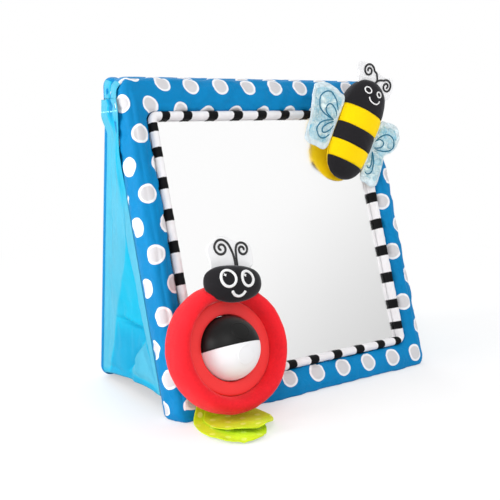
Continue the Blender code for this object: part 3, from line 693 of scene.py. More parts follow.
stripLook = {
    "halfWidth": 0.1656, "wall": 0.0008, "sag": 0.0016, "padCorner": 0.0145, "standCorner": 0.0075, "drop": 0.0215,
    "flare": 0.0030, "hollow": 0.0046, "straightColumns": 170, "turnedColumns": 18, "satinRows": 33,
    "satinColumns": 12,
    "path": ((0.0945, 0.3218), (0.0990, 0.3240), (0.1060, 0.3243), (0.1120, 0.3236), (0.1195, 0.3240),
             (0.1262, 0.3242), (0.1284, 0.3222), (0.1284, 0.3120))}


def addMask(data, values):
    # How much painted shade each point gets in the satin's colour, from how deep it lies in a fold or hollow
    layer = data.attributes.new("paintedFoldShade", "FLOAT", "POINT")
    layer.data.foreach_set("value", np.ascontiguousarray(values, dtype=np.float32).reshape(-1))


def makeStrip(look):
    # A path from the pad's top edge over the stand and down behind it, carried across the panel and sagging
    # between the two. Beyond each end the cloth turns down a quarter circle round the corners of the pad and
    # the stand, hangs straight and is drawn in between them.
    path = smoothPath(look["path"], 46)
    straight, turned = look["straightColumns"], look["turnedColumns"]
    turn = np.linspace(0, 1, turned + 1)[1:]
    down = np.concatenate((turn[::-1], np.zeros(straight), turn))[None, :]
    across = np.concatenate((-np.ones(turned), np.linspace(-1, 1, straight), np.ones(turned)))[None, :]
    share = np.linspace(0, 1, len(path))[:, None]
    corner = look["padCorner"] + (look["standCorner"] - look["padCorner"]) * smoothStep(0.1, 0.7, share)
    angle = np.minimum(down / 0.6, 1) * math.pi / 2
    between = np.exp(-((share - 0.47) / 0.12) ** 2)
    points = np.empty((len(path), across.shape[1], 3))
    points[..., 0] = across * (look["halfWidth"] - corner * (1 - np.sin(angle)))
    points[..., 1:] = path[:, None]
    points[..., 0] += across * look["flare"] * smoothStep(0.15, 0.5, down) * smoothStep(0.55, 0.25, share)
    points[..., 2] -= corner * (1 - np.cos(angle)) + np.maximum(down - 0.6, 0) / 0.4 * (look["drop"] - corner)
    crumple = smoothStep(0.05, 0.4, down) * between
    points[..., 0] -= across * crumple * look["hollow"] * (1 + 0.6 * ripple(points, 0.012, 6))
    points[..., 2] -= between * look["sag"] * (0.6 + 0.6 * ripple(points, 0.10, 3)) * (1 - down)
    points[..., 2] += 0.0005 * ripple(points, 0.025, 8) * np.sin(math.pi * share)
    flat = together(points[..., 0], 0.345 + share * 0.045 + down * 0.01)
    data = meshFromGrids("hingeStrip", [(points, False, False, flat)])
    # Painted shade in the crumple's hollow, and a little less just beyond it, for the satin's fold mask
    shade = 2.4 * np.exp(-((share - 0.45) / 0.11) ** 2) - 0.4 * np.exp(-((share - 0.72) / 0.08) ** 2)
    addMask(data, shade + 0.5 * ripple(points, 0.01, 7))
    return data


gussetCloth = makeGussetCloth("skyBlueSatin", gussetLook)
strip = addPiece("hingeStrip", makeStrip(stripLook), dottedCloth, None, "hinge_strip")
strip.data.materials.append(gussetCloth)
stripFaces = stripLook["straightColumns"] + 2 * stripLook["turnedColumns"] - 1
stripRow, stripColumn = np.divmod(np.arange(len(strip.data.polygons)), stripFaces)
fromEnd = np.minimum(stripColumn, stripFaces - 1 - stripColumn)
turnedDown = (stripRow < stripLook["satinRows"]) & (fromEnd < stripLook["satinColumns"])
strip.data.polygons.foreach_set("material_index", turnedDown.astype(np.int32))
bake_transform(strip)
giveThickness(strip, stripLook["wall"], 0.0)
print("hinge strip made")


# Side gussets

def insideFlap(along, share, corners):
    # The low flap is a triangle that stands out: how far inside its nearest side each place lies
    nearest = np.inf
    for a, b, c in zip(corners, np.roll(corners, -1, 0), np.roll(corners, -2, 0)):
        across = np.array([-(b - a)[1], (b - a)[0]]) / np.linalg.norm(b - a)
        away = (along - a[0]) * across[0] + (share - a[1]) * across[1]
        nearest = np.minimum(nearest, away * np.sign((c - a) @ across))
    return nearest


def makeGusset(name, side, look):
    # Cloth between the pad's rear edge and the stand's outer edge: straight lines from front to back, a pleat
    # folded inwards between them, then sharp creases that fade away from the lines they follow
    share, along = np.linspace(0, 1, 180)[:, None], np.linspace(0, 1, 90)[None, :]
    lap = np.interp(share, look["lapShares"], look["lap"])
    inner, edge, deepest = (np.interp(share, look["pleatShares"], look[key])
                            for key in ("stripEdge", "pleatEdge", "pleatDepth"))
    # In front it laps over the pad's side near the top; behind it follows the stand's round foot and flares above
    frontUp = look["padLow"] + share * (look["padTop"] - look["padLow"])
    frontUp = frontUp - look["topDip"] * smoothStep(0.75, 1.0, share)
    backUp = look["standLow"] + share * (look["standTop"] - look["standLow"])
    frontSide = look["padHalf"] + look["lapSide"] * smoothStep(0.66, 0.80, share)
    near = inWorld(np.concatenate((side * frontSide, frontUp, lap + look["padOut"]), axis=1), panel)
    radius, flare = look["footRadius"], smoothStep(0.88, 0.95, share)
    foot = radius - np.sqrt(radius ** 2 - np.clip(radius - (backUp - look["standFoot"]), 0, radius) ** 2)
    backSide = look["standHalf"] - foot + look["flareSide"] * flare
    backOut = look["standOut"] - look["flareOut"] * flare
    far = inWorld(np.concatenate((side * backSide, backUp, backOut), axis=1), stand)
    points = near[:, None] + (far - near)[:, None] * along[..., None]
    width = np.linalg.norm(far - near, axis=1)[:, None]
    room, bulge = np.minimum(1, width / look["fullWidth"]), np.sin(math.pi * along)
    rising = np.clip((along - inner) / 0.05, 0, 1)
    falling = np.clip((edge - along) / (edge - inner - 0.05), 0, 1)
    flap = insideFlap(along, share, np.array(look["flap"]))
    depth = deepest * np.minimum(rising, falling) * room - look["flapDepth"] * smoothStep(0.0, 0.03, flap)
    for a0, h0, a1, h1, height, spread in look["folds"]:
        ax, hx = (along - a0) * width, (share - h0) * look["length"]
        bx, by = (a1 - a0) * width, (h1 - h0) * look["length"]
        reach = np.clip((ax * bx + hx * by) / (bx * bx + by * by), 0, 1)
        away = np.hypot(ax - reach * bx, hx - reach * by)
        ends = 0.35 + 0.65 * np.sin(math.pi * np.clip(reach, 0.02, 0.98))
        depth = depth + height * np.exp(-away / (0.2 * spread)) * room * bulge ** 0.5 * ends * look["foldShare"]
    depth = depth + look["unevenness"] * ripple(points * (1, 1, 0.4), 0.04, 12) * bulge ** 0.5 * room
    depth = depth + look["pucker"] * np.sin(along * 17) * smoothStep(0.80, 1.0, share) * bulge
    points[..., 0] -= side * depth
    points[..., 2] += look["footLift"] * bulge * (1 - share) ** 6
    data = meshFromGrids(name, [(points, False, False, together(along * width * 10, share))])
    # Painted shade for the fold mask: the pleat below and above, the open valley at the top and the hem
    pleat = smoothStep(inner - 0.015, inner + 0.02, along) * smoothStep(edge + 0.02, edge - 0.03, along)
    low = smoothStep(0.56, 0.50, share) * (0.8 + 0.5 * smoothStep(0.28, 0.14, share)) * smoothStep(0.008, -0.004, flap)
    upper = 0.8 * smoothStep(0.58, 0.68, share) * smoothStep(0.44, 0.28, along) * smoothStep(0.97, 0.90, share)
    opened = smoothStep(0.82, 0.97, share)
    valleyShade = 1.7 * opened * np.exp(-((along - 0.56) / (0.03 + 0.09 * opened)) ** 2)
    hemShade = 0.7 * smoothStep(0.03, 0.012, share) * smoothStep(0.0, 0.05, along)
    addMask(data, np.maximum(np.maximum(pleat * low, upper), np.maximum(valleyShade, hemShade)))
    return data


for sideName, side in (("left", -1), ("right", 1)):
    gusset = addPiece(sideName + "Gusset", makeGusset(sideName + "Gusset", side, gussetLook), gussetCloth,
                      "front_panel", sideName + "_gusset")
    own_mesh(gusset)
    giveThickness(gusset, gussetLook["wall"], 0.0)
print("gussets made")


# Lining on the back of the front panel

liningLook = {"halfWidth": 0.1635, "low": 0.0127, "high": 0.3405, "radius": 0.012, "out": -0.0316, "wall": 0.0006,
              "blue": (0.02, 0.36, 0.74)}


def makeLining(look):
    # A rounded rectangle of cloth in rings about its middle, with faint pulls towards its edge
    outline, outwards = roundedLoop(look["halfWidth"], look["low"], look["high"], look["radius"], 40, 6)
    shares = np.linspace(0, 1, 40)
    flat = discRows(outline, np.array([0, 0.175]), shares)
    points = atHeight(flat, [look["out"]])
    points[..., 2] += 0.00035 * ripple(points, 0.05, 21) * np.sin(math.pi * shares)[:, None]
    return [(inWorld(points, panel), False, True, firstAgain(flat))]


liningCloth = clothMaterial("liningCloth", liningLook["blue"], 0.6, tone=0.08, creases=0.4)
lining = addPiece("frontLining", makeLining(liningLook), liningCloth, "front_panel", "front_lining")
giveThickness(lining, liningLook["wall"], 0.0)
print("lining made")


# Back panel's cover

backLook = {"halfWidth": 0.1655, "foot": -0.3152, "top": 0.008, "radius": 0.012, "near": -0.0006, "far": -0.0070,
            "bind": 0.0016, "unevenness": 0.0004}


def makeBackCover(look):
    # A flat pocket round its board: rings run from the middle of the rear face out to the edge, round the
    # bound seam, and back in to the middle of the front face
    outline, outwards = roundedLoop(look["halfWidth"], look["foot"], look["top"], look["radius"], 70, 8)
    shares = np.concatenate((np.linspace(0, 0.97, 34), (0.982, 0.99)))
    middle, half = (look["near"] + look["far"]) / 2, (look["near"] - look["far"]) / 2
    rear = discRows(outline, np.array([0, -0.155]), shares)
    rearOut = middle - half * (1 - 0.25 * smoothStep(0.965, 0.985, shares) * smoothStep(1.0, 0.985, shares))
    angle = np.radians(np.linspace(-80, 80, 9))
    rim = outline - outwards * (look["bind"] * (1 - np.cos(angle)))[:, None, None]
    flat = np.concatenate((rear, rim, rear[::-1]))
    out = np.concatenate((rearOut, middle + half * np.sin(angle), (2 * middle - rearOut)[::-1]))
    points = atHeight(flat, out)
    level = np.concatenate((shares, np.ones(9), shares[::-1]))[:, None]
    uneven = look["unevenness"] * np.abs(ripple(flat, 0.07, 31)) * smoothStep(1.0, 0.9, level)
    points[..., 2] += np.sign(out - middle)[:, None] * uneven
    placed = inWorld(points, stand)
    placed[..., 2] = np.maximum(placed[..., 2], 0.0)
    data = meshFromGrids("backCover", [(placed, False, True, firstAgain(flat))])
    bindEdge(data, len(shares) - 1, len(shares) + 9, points.shape[1])
    return data


addPiece("backCover", makeBackCover(backLook), dottedCloth, "back_panel", "back_cover")
print("back panel made")


# Ladybird: plush ring, plastic ring and ball

plushLook = {"middle": 0.05385, "half": 0.00835, "halfDepth": 0.018, "lip": 0.0095, "red": (0.86, 0.018, 0.028),
             "lumps": 0.0005, "pile": 0.00012}
redPlush = plushMaterial("redPlush", plushLook["red"], 0.35, (1.0, 0.4, 0.4), tone=0.13, tufts=1500.0, nap=0.6)


def makePlushRing(look):
    # A squarish oval section turned about the ball, with soft lumps of stuffing and fine pile on its skin
    angle = -circle(56)
    square = np.where(np.sin(angle) < 0, 0.75, 0.95)
    lip = np.where(np.sin(angle) < -0.45, look["lip"], 0.0) * (np.cos(angle) < 0)
    across = np.sign(np.cos(angle)) * np.abs(np.cos(angle)) ** square
    up = np.sign(np.sin(angle)) * np.abs(np.sin(angle)) ** square
    section = np.column_stack((look["middle"] + look["half"] * across - lip, look["halfDepth"] * up))
    points = lathe(section, ladybird, 200)
    free = smoothStep(-0.6, 0.2, across)[:, None]
    bumpy = (look["lumps"] * ripple(points, 0.035, 41) + look["pile"] * ripple(points, 0.004, 42)) * free
    return [(points + surfaceNormals(points, True, True) * bumpy[..., None], True, True, None)]


addPiece("plushRing", makePlushRing(plushLook), redPlush, "ladybird", "ladybird_body")

# Each corner of a ring's section has its radius, its height and the reach of its rounding
bezelLook = {
    "coral": (0.93, 0.045, 0.045),
    "front": ((0.0318, 0.00015, 0.0002), (0.0318, 0.0040, 0.0012), (0.0385, 0.0050, 0.004),
              (0.0452, 0.0042, 0.0016), (0.0452, 0.00015, 0.0002)),
    "rear": ((0.0318, -0.00015, 0.0002), (0.0452, -0.00015, 0.0002), (0.0452, -0.0065, 0.0016),
             (0.0311, -0.0065, 0.0016))}


def roundedProfile(corners):
    # A closed outline whose corners are quadratic curves that start and end the given distance from each
    here, reach = np.array(corners)[:, :2], np.array(corners)[:, 2:]
    first, last = (here + unit(np.roll(here, way, 0) - here) * reach for way in (1, -1))
    t = np.linspace(0, 1, 5)[:, None]
    return (first[:, None] * (1 - t) ** 2 + 2 * here[:, None] * t * (1 - t) + last[:, None] * t * t).reshape(-1, 2)


coralPlastic = plasticMaterial("coralPlastic", bezelLook["coral"], 0.42, marks=0.08)
for side in ("front", "rear"):
    ring = [(lathe(roundedProfile(bezelLook[side]), ladybird, 192), True, True, None)]
    addPiece("ballRing" + side.capitalize(), ring, coralPlastic, "ladybird", "ball_ring_" + side)

ballLook = {"radius": 0.0310, "wall": 0.0016, "seam": 0.00015, "black": (0.006, 0.006, 0.006),
            "white": (0.84, 0.84, 0.86), "spots": ((0.0004, 0.0117, 0.0287), (-0.0205, 0.019, -0.0142)),
            "spotRadius": 0.0088, "spotHeight": 0.0003, "ringThread": 0.0010, "ringSink": 0.0004}


def makeHalfBall(side, look):
    # Half a hollow ball: rings from the pole to the seam outside and back to the pole inside. Round spots stand
    # a little proud on the outer skin, each in a thin raised ring.
    last = math.pi / 2 - math.asin(look["seam"] / look["radius"])
    tilt = np.concatenate((np.linspace(0, last, 48), np.linspace(last, 0, 24)))
    outer = (np.arange(len(tilt)) < 48)[:, None]
    angle, spread = circle(128), look["spotRadius"] / look["radius"]
    points = together(np.sin(tilt)[:, None] * np.cos(angle), side * np.cos(tilt)[:, None],
                      np.sin(tilt)[:, None] * np.sin(angle))
    raised, rings = np.zeros(points.shape[:2]), []
    for spot in look["spots"]:
        axis = unit(np.array(spot) * (1, side, 1))
        away = np.linalg.norm(points - axis, axis=-1) * look["radius"]
        raised = np.maximum(raised, smoothStep(look["spotRadius"], look["spotRadius"] - 0.0007, away))
        first, around = unit(np.cross(axis, (0, 0, 1.0))), circle(72)[:, None]
        sideways = first * np.cos(around) + np.cross(axis, first) * np.sin(around)
        ring = axis * math.cos(spread) + sideways * math.sin(spread)
        rings.append(tubeGrid(inWorld(ring * (look["radius"] - look["ringSink"]), ball), look["ringThread"],
                              ring @ ball["axes"], closed=True, sides=6))
    reach = look["radius"] - look["wall"] * ~outer
    reach = reach + raised * look["spotHeight"] * outer * smoothStep(last, 1.35, tilt)[:, None]
    return [(inWorld(points * reach[..., None], ball), False, True, None), *rings]


blackPlastic = plasticMaterial("blackPlastic", ballLook["black"], 0.4, specular=0.18, marks=0.1)
whitePlastic = plasticMaterial("whitePlastic", ballLook["white"], 0.42)
for colour, side, finish in (("black", 1, blackPlastic), ("white", -1, whitePlastic)):
    addPiece(colour + "Half", makeHalfBall(side, ballLook), finish, "ladybird_ball", "ball_" + colour + "_half")
print("ladybird's ring and ball made")


# Ladybird's head, face and antennae

headLook = {"place": (0.0074, 0.0591, 0.0167), "half": (0.0315, 0.0178, 0.014), "brow": 0.62, "clear": 0.0006,
            "tilt": math.radians(-7), "black": (0.016, 0.015, 0.017), "thread": 0.0014, "glint": 0.0006,
            "eyes": (((-0.0119, 0.0035), 0.0072, 0.0078), ((0.0088, 0.0034), 0.0066, 0.0072)),
            "smile": ((-0.0088, -0.0080), (-0.0052, -0.0118), (-0.0006, -0.0129), (0.0032, -0.0115),
                      (0.0058, -0.0081))}
tiltCos, tiltSin = math.cos(headLook["tilt"]), math.sin(headLook["tilt"])
headTurn = np.array([[tiltCos, tiltSin, 0], [-tiltSin, tiltCos, 0], [0, 0, 1]])
headPlace = makeFrame(inWorld(headLook["place"], ladybird), *(headTurn @ ladybird["axes"]))
blackVelour = plushMaterial("blackVelour", headLook["black"], 0.35, (0.7, 0.72, 0.75), tone=0.1, tufts=1300.0, nap=0.3)
whiteThread = clothMaterial("whiteThread", (0.88, 0.88, 0.88), 0.6, threads=2200.0, creases=0.1)
blackThread = clothMaterial("blackThread", (0.015, 0.015, 0.016), 0.5, threads=2200.0, creases=0.1)


def makeHead(look):
    # An oval of three half sizes from pole to pole along its width, held clear of the plush ring below it
    tilt, angle = np.linspace(0, math.pi, 60)[:, None], circle(96)[None, :]
    brow = np.sin(tilt) ** np.where(np.cos(angle) > 0, look["brow"], 1.0)
    points = together(np.cos(tilt), brow * np.cos(angle), np.sin(tilt) * np.sin(angle))
    placed = inWorld(points * look["half"], headPlace)
    placed = placed + surfaceNormals(placed, False, True) * (0.0003 * ripple(placed, 0.03, 51))[..., None]
    local = inPlace(placed, ladybird)
    away, half = np.hypot(local[..., 0], local[..., 1]) - plushLook["middle"], plushLook["half"] + look["clear"]
    share = np.clip(np.abs(away / half), 0, 1)
    plushFace = (plushLook["halfDepth"] + look["clear"]) * (1 - share ** 2.1) ** 0.5
    local[..., 2] = np.where(away < half, np.maximum(local[..., 2], plushFace), local[..., 2])
    return [(inWorld(local, ladybird), False, True, None)]


def onHead(flat):
    # Points drawn flat on the face, laid on the oval's front, and the oval's normals there
    a, b, c = headLook["half"]
    height = c * np.sqrt(np.maximum(0.02, 1 - (flat[:, 0] / a) ** 2 - (flat[:, 1] / b) ** 2))
    normal = unit(np.column_stack((flat[:, 0] / a ** 2, flat[:, 1] / b ** 2, height / c ** 2)))
    return inWorld(np.column_stack((flat, height)), headPlace), normal @ headPlace["axes"]


def ovalPath(centre, across, up, count):
    angle = circle(count)
    return np.column_stack((centre[0] + across * np.cos(angle), centre[1] + up * np.sin(angle)))


def laidOn(skin, flat, thread, closed=False):
    # A thread along a path that is drawn flat and laid on a face
    path, normal = skin(flat)
    return tubeGrid(path, thread, normal, closed)


addPiece("ladybirdHead", makeHead(headLook), blackVelour, "ladybird", "ladybird_head")
faceGrids = []
for centre, across, up in headLook["eyes"]:
    faceGrids.append(laidOn(onHead, ovalPath(centre, across, up, 48), headLook["thread"], True))
    middle = np.array((centre[0] - across * 0.42, centre[1] + up * 0.42))
    for turn in (0.4, 1.97):
        ray = np.array((math.cos(turn), math.sin(turn))) * 0.0017
        faceGrids.append(laidOn(onHead, smoothPath((middle - ray, middle, middle + ray), 9), headLook["glint"]))
faceGrids.append(laidOn(onHead, smoothPath(headLook["smile"], 30), headLook["thread"]))
addPiece("ladybirdFace", faceGrids, whiteThread, "ladybird")


def pillow(outline, centre, thickness, wave, place, rings=14):
    # A flat sewn tab or wing: rings run from the middle of one face out, round the edge, and in over the
    # other. Both faces share the wave of the cloth.
    shares = np.linspace(0, 1, rings) ** 0.8
    angle, half = np.radians(np.linspace(90, -90, 7))[1:-1], thickness / 2
    face = discRows(outline, centre, shares * 0.985)
    rim = outline - unit(outline - centre) * (half * (1 - np.cos(angle)))[:, None, None]
    flat = np.concatenate((face, rim, face[::-1]))
    points = atHeight(flat, np.concatenate((np.full(rings, half), half * np.sin(angle), np.full(rings, -half))))
    points[..., 2] += wave(flat)
    share = np.concatenate((shares, np.ones(len(angle)), shares[::-1]))
    around = np.arange(len(outline) + 1) / len(outline)
    return [(inWorld(points, place), False, True, np.stack(np.meshgrid(share, around, indexing="ij"), axis=-1))]


def stitches(paths, height, thread, place):
    # Threads along flat paths over a tab or wing
    return [tubeGrid(inWorld(np.column_stack((path, height(path))), place), thread, place["axes"][2])
            for path in paths]


# Each curl has its stem, its centre, the angle it starts at, its turns and its widest reach
tabLook = {
    "thickness": 0.0014, "white": (0.93, 0.93, 0.94), "thread": 0.0012, "curlEnd": 0.0012,
    "ladybird": {
        "place": (0.0135, 0.072, 0.0122), "size": (0.050, 0.034),
        "shares": ((-0.4, 0.0), (-0.49, 0.34), (-0.5, 0.72), (-0.23, 1.0), (-0.03, 0.95), (0.12, 0.82),
                   (0.4, 0.74), (0.49, 0.5), (0.38, 0.0)),
        "curls": ((((0.0030, 0.0030), (0.0030, 0.0110), (0.0018, 0.0180)), (-0.0098, 0.0225), 14, 1.7, 0.0092),
                  (((0.0052, 0.0030), (0.0056, 0.0110), (0.0064, 0.0195)), (0.0138, 0.0190), 142, -1.5, 0.0074))},
    "bee": {
        "place": (0.001, 0.046, -0.001), "size": (0.060, 0.028),
        "shares": ((-0.27, 0.0), (-0.44, 0.54), (-0.52, 0.79), (-0.33, 1.0), (-0.03, 0.9), (0.19, 0.86),
                   (0.4, 0.96), (0.51, 0.49), (0.36, -0.05)),
        "curls": ((((0.0013, 0.0060), (0.0015, 0.0098), (0.0033, 0.0165), (-0.0003, 0.0222)), (-0.0123, 0.0214),
                   20, 1.6, 0.0080),
                  (((0.0018, 0.0060), (0.0017, 0.0098), (0.0045, 0.0158), (0.0088, 0.0189)), (0.0191, 0.0158),
                   146, -1.6, 0.0078))}}
whiteFelt = clothMaterial("whiteTabCloth", tabLook["white"], 0.65, tone=0.03, threads=1400.0, creases=0.2)


def curlPath(stem, centre, start, turns, outer):
    # A stem that runs on into a spiral, whose angle grows evenly while its reach shrinks
    share = np.linspace(0, 1, 60)
    angle = math.radians(start) + 2 * math.pi * turns * share
    reach = outer + (tabLook["curlEnd"] - outer) * share
    spiral = np.column_stack((centre[0] + reach * np.cos(angle), centre[1] + reach * np.sin(angle)))
    return np.concatenate((smoothPath((*stem, spiral[0]), 16)[:-1], spiral))


def addTab(body, toy, look):
    # A sewn cloth tab with its two curls of raised thread on the front
    place = makeFrame(inWorld(look["place"], toy), *toy["axes"])
    outline = smoothLoop(np.array(look["shares"]) * look["size"], 120)
    wave = lambda flat: 0.0006 * ripple(flat, 0.03, 61)
    addPiece(body + "Tab", pillow(outline, np.array([0, look["size"][1] * 0.45]), tabLook["thickness"], wave, place),
             whiteFelt, body, body + "_antennae")
    addPiece(body + "TabCurls", stitches([curlPath(*curl) for curl in look["curls"]],
                                         lambda path: tabLook["thickness"] / 2 + wave(path), tabLook["thread"], place),
             blackThread, body)


addTab("ladybird", ladybird, tabLook["ladybird"])
print("ladybird's head made")


# Leaves under the ladybird

leafLook = {
    "thickness": 0.0008, "bend": 0.005, "waveLength": 0.031, "halfWidth": 0.031, "green": (0.57, 0.76, 0.006),
    "dotGreen": (0.86, 0.96, 0.28), "pale": (0.68, 0.88, 0.03), "dots": ((0.0, 0.0), (0.0085, 0.013)),
    "dotSteps": (0.017, 0.026), "wave": 0.0018, "ruffle": 0.0012, "heldShare": 0.45,
    "lower": {"length": 0.085, "shift": (-0.124, -0.130), "offset": 0.0, "lift": 0.0, "seed": 71},
    "upper": {"length": 0.075, "shift": (-0.114, -0.115), "offset": 0.0017, "lift": 0.005, "seed": 72}}


def makeLeafCloth(name, look):
    made, tree, shader, place, flat = startMaterial(
        name, look["green"], Roughness=0.45, Specular_IOR_Level=0.1, Sheen_Weight=0.5, Sheen_Roughness=0.5,
        Sheen_Tint=(0.8, 0.9, 0.1, 1))
    dot = span(tree, nearestDot(tree, flat, look["dots"], *look["dotSteps"]), 0.0031, 0.0024, "SMOOTHSTEP")
    dotted = mixed(tree, dot, toned(tree, look["green"], place, 30.0, 0.1), look["dotGreen"])
    height, shade = creased(tree, place, 55.0, 0.4)
    # Painted light: the creases' shade mask mixes a paler green into the cloth
    finishSkin(tree, shader, mixed(tree, shade, dotted, look["pale"]), (height, 0.5, 0.002),
               (woven(tree, place, 1200.0), 0.2, 0.0002))
    return made


def makeLeaf(look, leaf):
    # Cloth down the pad's face, round a bend and out over the floor. Across, the leaf's width follows a
    # rounded share of its length; its free end is waved.
    share, across = np.linspace(0, 1, 60)[:, None], np.linspace(-1, 1, 90)[None, :]
    distance, bend = share * leaf["length"], look["bend"]
    root = inWorld((0, 0.020, 0.0012), panel)
    fall = (root[2] - 0.001 - bend * (1 - leanSin)) / leanCos
    turn = np.clip((distance - fall) / bend, 0, math.pi / 2 - panelLean)
    level = np.maximum(0, distance - fall - bend * turn)
    aboveY, aboveZ = -np.cos(panelLean + turn), np.sin(panelLean + turn)
    y = root[1] - leanSin * np.minimum(distance, fall) + bend * (-leanCos - aboveY) - level
    z = root[2] - leanCos * np.minimum(distance, fall) + bend * (leanSin - aboveZ)
    bulge = (share - 0.5) / 0.5
    width = np.where(bulge > 0, np.sqrt(np.maximum(0.0, 1 - 0.97 * bulge ** 2)), 1 - 0.35 * bulge ** 2)
    x = leaf["shift"][0] + (leaf["shift"][1] - leaf["shift"][0]) * share + look["halfWidth"] * width * across
    free = np.maximum(0, share - look["heldShare"]) / (1 - look["heldShare"])
    wave = np.sin(math.pi * x / look["waveLength"] + leaf["seed"]) ** 2
    ruffle = look["ruffle"] * free * (1 + ripple(together(x, y, z), 0.014, leaf["seed"])) * across ** 2
    rise = leaf["offset"] + free * (leaf["lift"] * free + look["wave"] * wave) + ruffle
    return [(together(x, y + aboveY * rise, z + aboveZ * rise), False, False, together(x, distance))]


leafCloth = makeLeafCloth("leafSatin", leafLook)
for side in ("lower", "upper"):
    leaf = addPiece(side + "Leaf", makeLeaf(leafLook, leafLook[side]), leafCloth, "ladybird", side + "_leaf")
    giveThickness(leaf, leafLook["thickness"], 0.0)
print("leaves made")


# Bee: bands, back, head, face and antennae

beeLook = {"length": 0.1166, "halfWidth": 0.028, "front": 0.0155, "back": 0.0105, "headBack": 0.030, "fullness": 4,
           "edges": (-0.0403, -0.0203, -0.0003, 0.0214), "wall": 0.0010, "seamDip": 0.0007, "gap": 0.0001,
           "sideGap": 0.004, "neckGap": 0.00015, "patch": 0.0033, "lumps": 0.00035, "swell": 0.0004,
           "yellow": (0.98, 0.67, 0.0), "thread": 0.0008,
           "eyes": (((-0.0112, 0.0432), 0.0040, 0.0034), ((0.0044, 0.0443), 0.0034, 0.0030)),
           "smile": ((-0.0085, 0.0366), (-0.0062, 0.0335), (-0.0020, 0.0318), (0.0030, 0.0322), (0.0062, 0.0345),
                     (0.0074, 0.0380))}


def beeFull(y):
    return np.sqrt(np.maximum(0, 1 - np.abs(y / (beeLook["length"] / 2)) ** beeLook["fullness"]))


def beeSkin(y, angle, backHeight):
    # The stuffed body's skin: a fourth-power oval along its length times an oval section, whose back half may
    # have another height
    full, height = beeFull(y), np.where(np.sin(angle) > 0, beeLook["front"], backHeight)
    return together(beeLook["halfWidth"] * full * np.cos(angle), y, height * full * np.sin(angle))


def makeBand(low, high, angles, look, seed):
    # A patch of the skin between two lengths and two angles, drawn in a little along its seams
    atPole = low <= -look["length"] / 2 + 0.0001
    share, angle = np.linspace(0, 1, 40)[:, None], np.linspace(*angles, 72)[None, :]
    y = low + (high - low) * (share ** 2 if atPole else share)
    nearEdge = high - y if atPole else np.minimum(y - low, high - y)
    nearSide = np.minimum(angle - angles[0], angles[1] - angle) * look["halfWidth"]
    dip = np.exp(-(nearEdge / 0.0011) ** 2) + np.exp(-(nearSide / 0.0013) ** 2)
    placed = inWorld(beeSkin(y, angle, look["back"]), bee)
    normals = surfaceNormals(placed)
    outwards = np.sign(np.sum(normals * (placed - bee["origin"]), axis=-1, keepdims=True).mean())
    uneven = look["lumps"] * ripple(placed, 0.03, seed) + look["swell"] * (1 - np.exp(-(nearEdge / 0.006) ** 2))
    placed = placed + normals * outwards * (uneven - look["seamDip"] * np.minimum(dip, 1))[..., None]
    return [(placed, False, False, None)]


def makeBeeHead(look):
    # The head from a flat neck over the skin to its pole; behind, it is pressed flat on its patch
    neck = look["edges"][-1] + look["neckGap"]
    y = neck + (look["length"] / 2 - neck) * (1 - (1 - np.linspace(0, 1, 46)) ** 2)[:, None]
    skin = beeSkin(y, circle(110)[None, :], look["headBack"])
    inwards = skin[:1] * np.array([1, 0, 1]) * np.linspace(0, 0.96, 10)[:, None, None] + np.array([0, neck, 0])
    placed = inWorld(np.concatenate((inwards, skin)), bee)
    placed += surfaceNormals(placed, False, True) * (0.0003 * ripple(placed, 0.03, 83))[..., None]
    onPanel = inPlace(placed, panel)
    onPanel[..., 2] = np.maximum(onPanel[..., 2], look["patch"])
    return [(inWorld(onPanel, panel), False, True, None)]


def onBee(flat):
    # Points drawn on the bee's front, laid on its skin
    full = beeFull(flat[:, 1])
    share = np.clip(flat[:, 0] / (beeLook["halfWidth"] * full), -0.98, 0.98)
    return inWorld(np.column_stack((flat, beeLook["front"] * full * np.sqrt(1 - share ** 2))), bee), bee["axes"][2]


yellowVelour = plushMaterial("yellowVelour", beeLook["yellow"], 0.25, (1.0, 0.9, 0.5), tone=0.05, tufts=1300.0,
                             nap=0.25)
velours = {"black": blackVelour, "yellow": yellowVelour}
ends, gap = (-beeLook["length"] / 2, *beeLook["edges"]), beeLook["gap"]
front = (beeLook["sideGap"], math.pi - beeLook["sideGap"])
back = (beeLook["sideGap"] - math.pi, -beeLook["sideGap"])
for name, nodeName, colour, low, high, angles, seed in (
        ("beeTail", "bee_tail", "black", ends[0], ends[1], front, 81),
        ("beeLowerBand", "bee_lower_band", "yellow", ends[1] + gap, ends[2], front, 82),
        ("beeMiddleBand", "bee_middle_band", "black", ends[2] + gap, ends[3], front, 83),
        ("beeUpperBand", "bee_upper_band", "yellow", ends[3] + gap, ends[4], front, 84),
        ("beeBack", "bee_back", "yellow", ends[0], ends[4], back, 87)):
    addPiece(name, makeBand(low, high - gap, angles, beeLook, seed), velours[colour], "bee", nodeName,
             wall=beeLook["wall"])
addPiece("beeHead", makeBeeHead(beeLook), blackVelour, "bee", "bee_head")
faceGrids = [laidOn(onBee, ovalPath(*eye, 36), beeLook["thread"], True) for eye in beeLook["eyes"]]
faceGrids.append(laidOn(onBee, smoothPath(beeLook["smile"], 24), beeLook["thread"]))
addPiece("beeFace", faceGrids, whiteThread, "bee")
addTab("bee", bee, tabLook["bee"])
print("bee made")


# Bee's wings

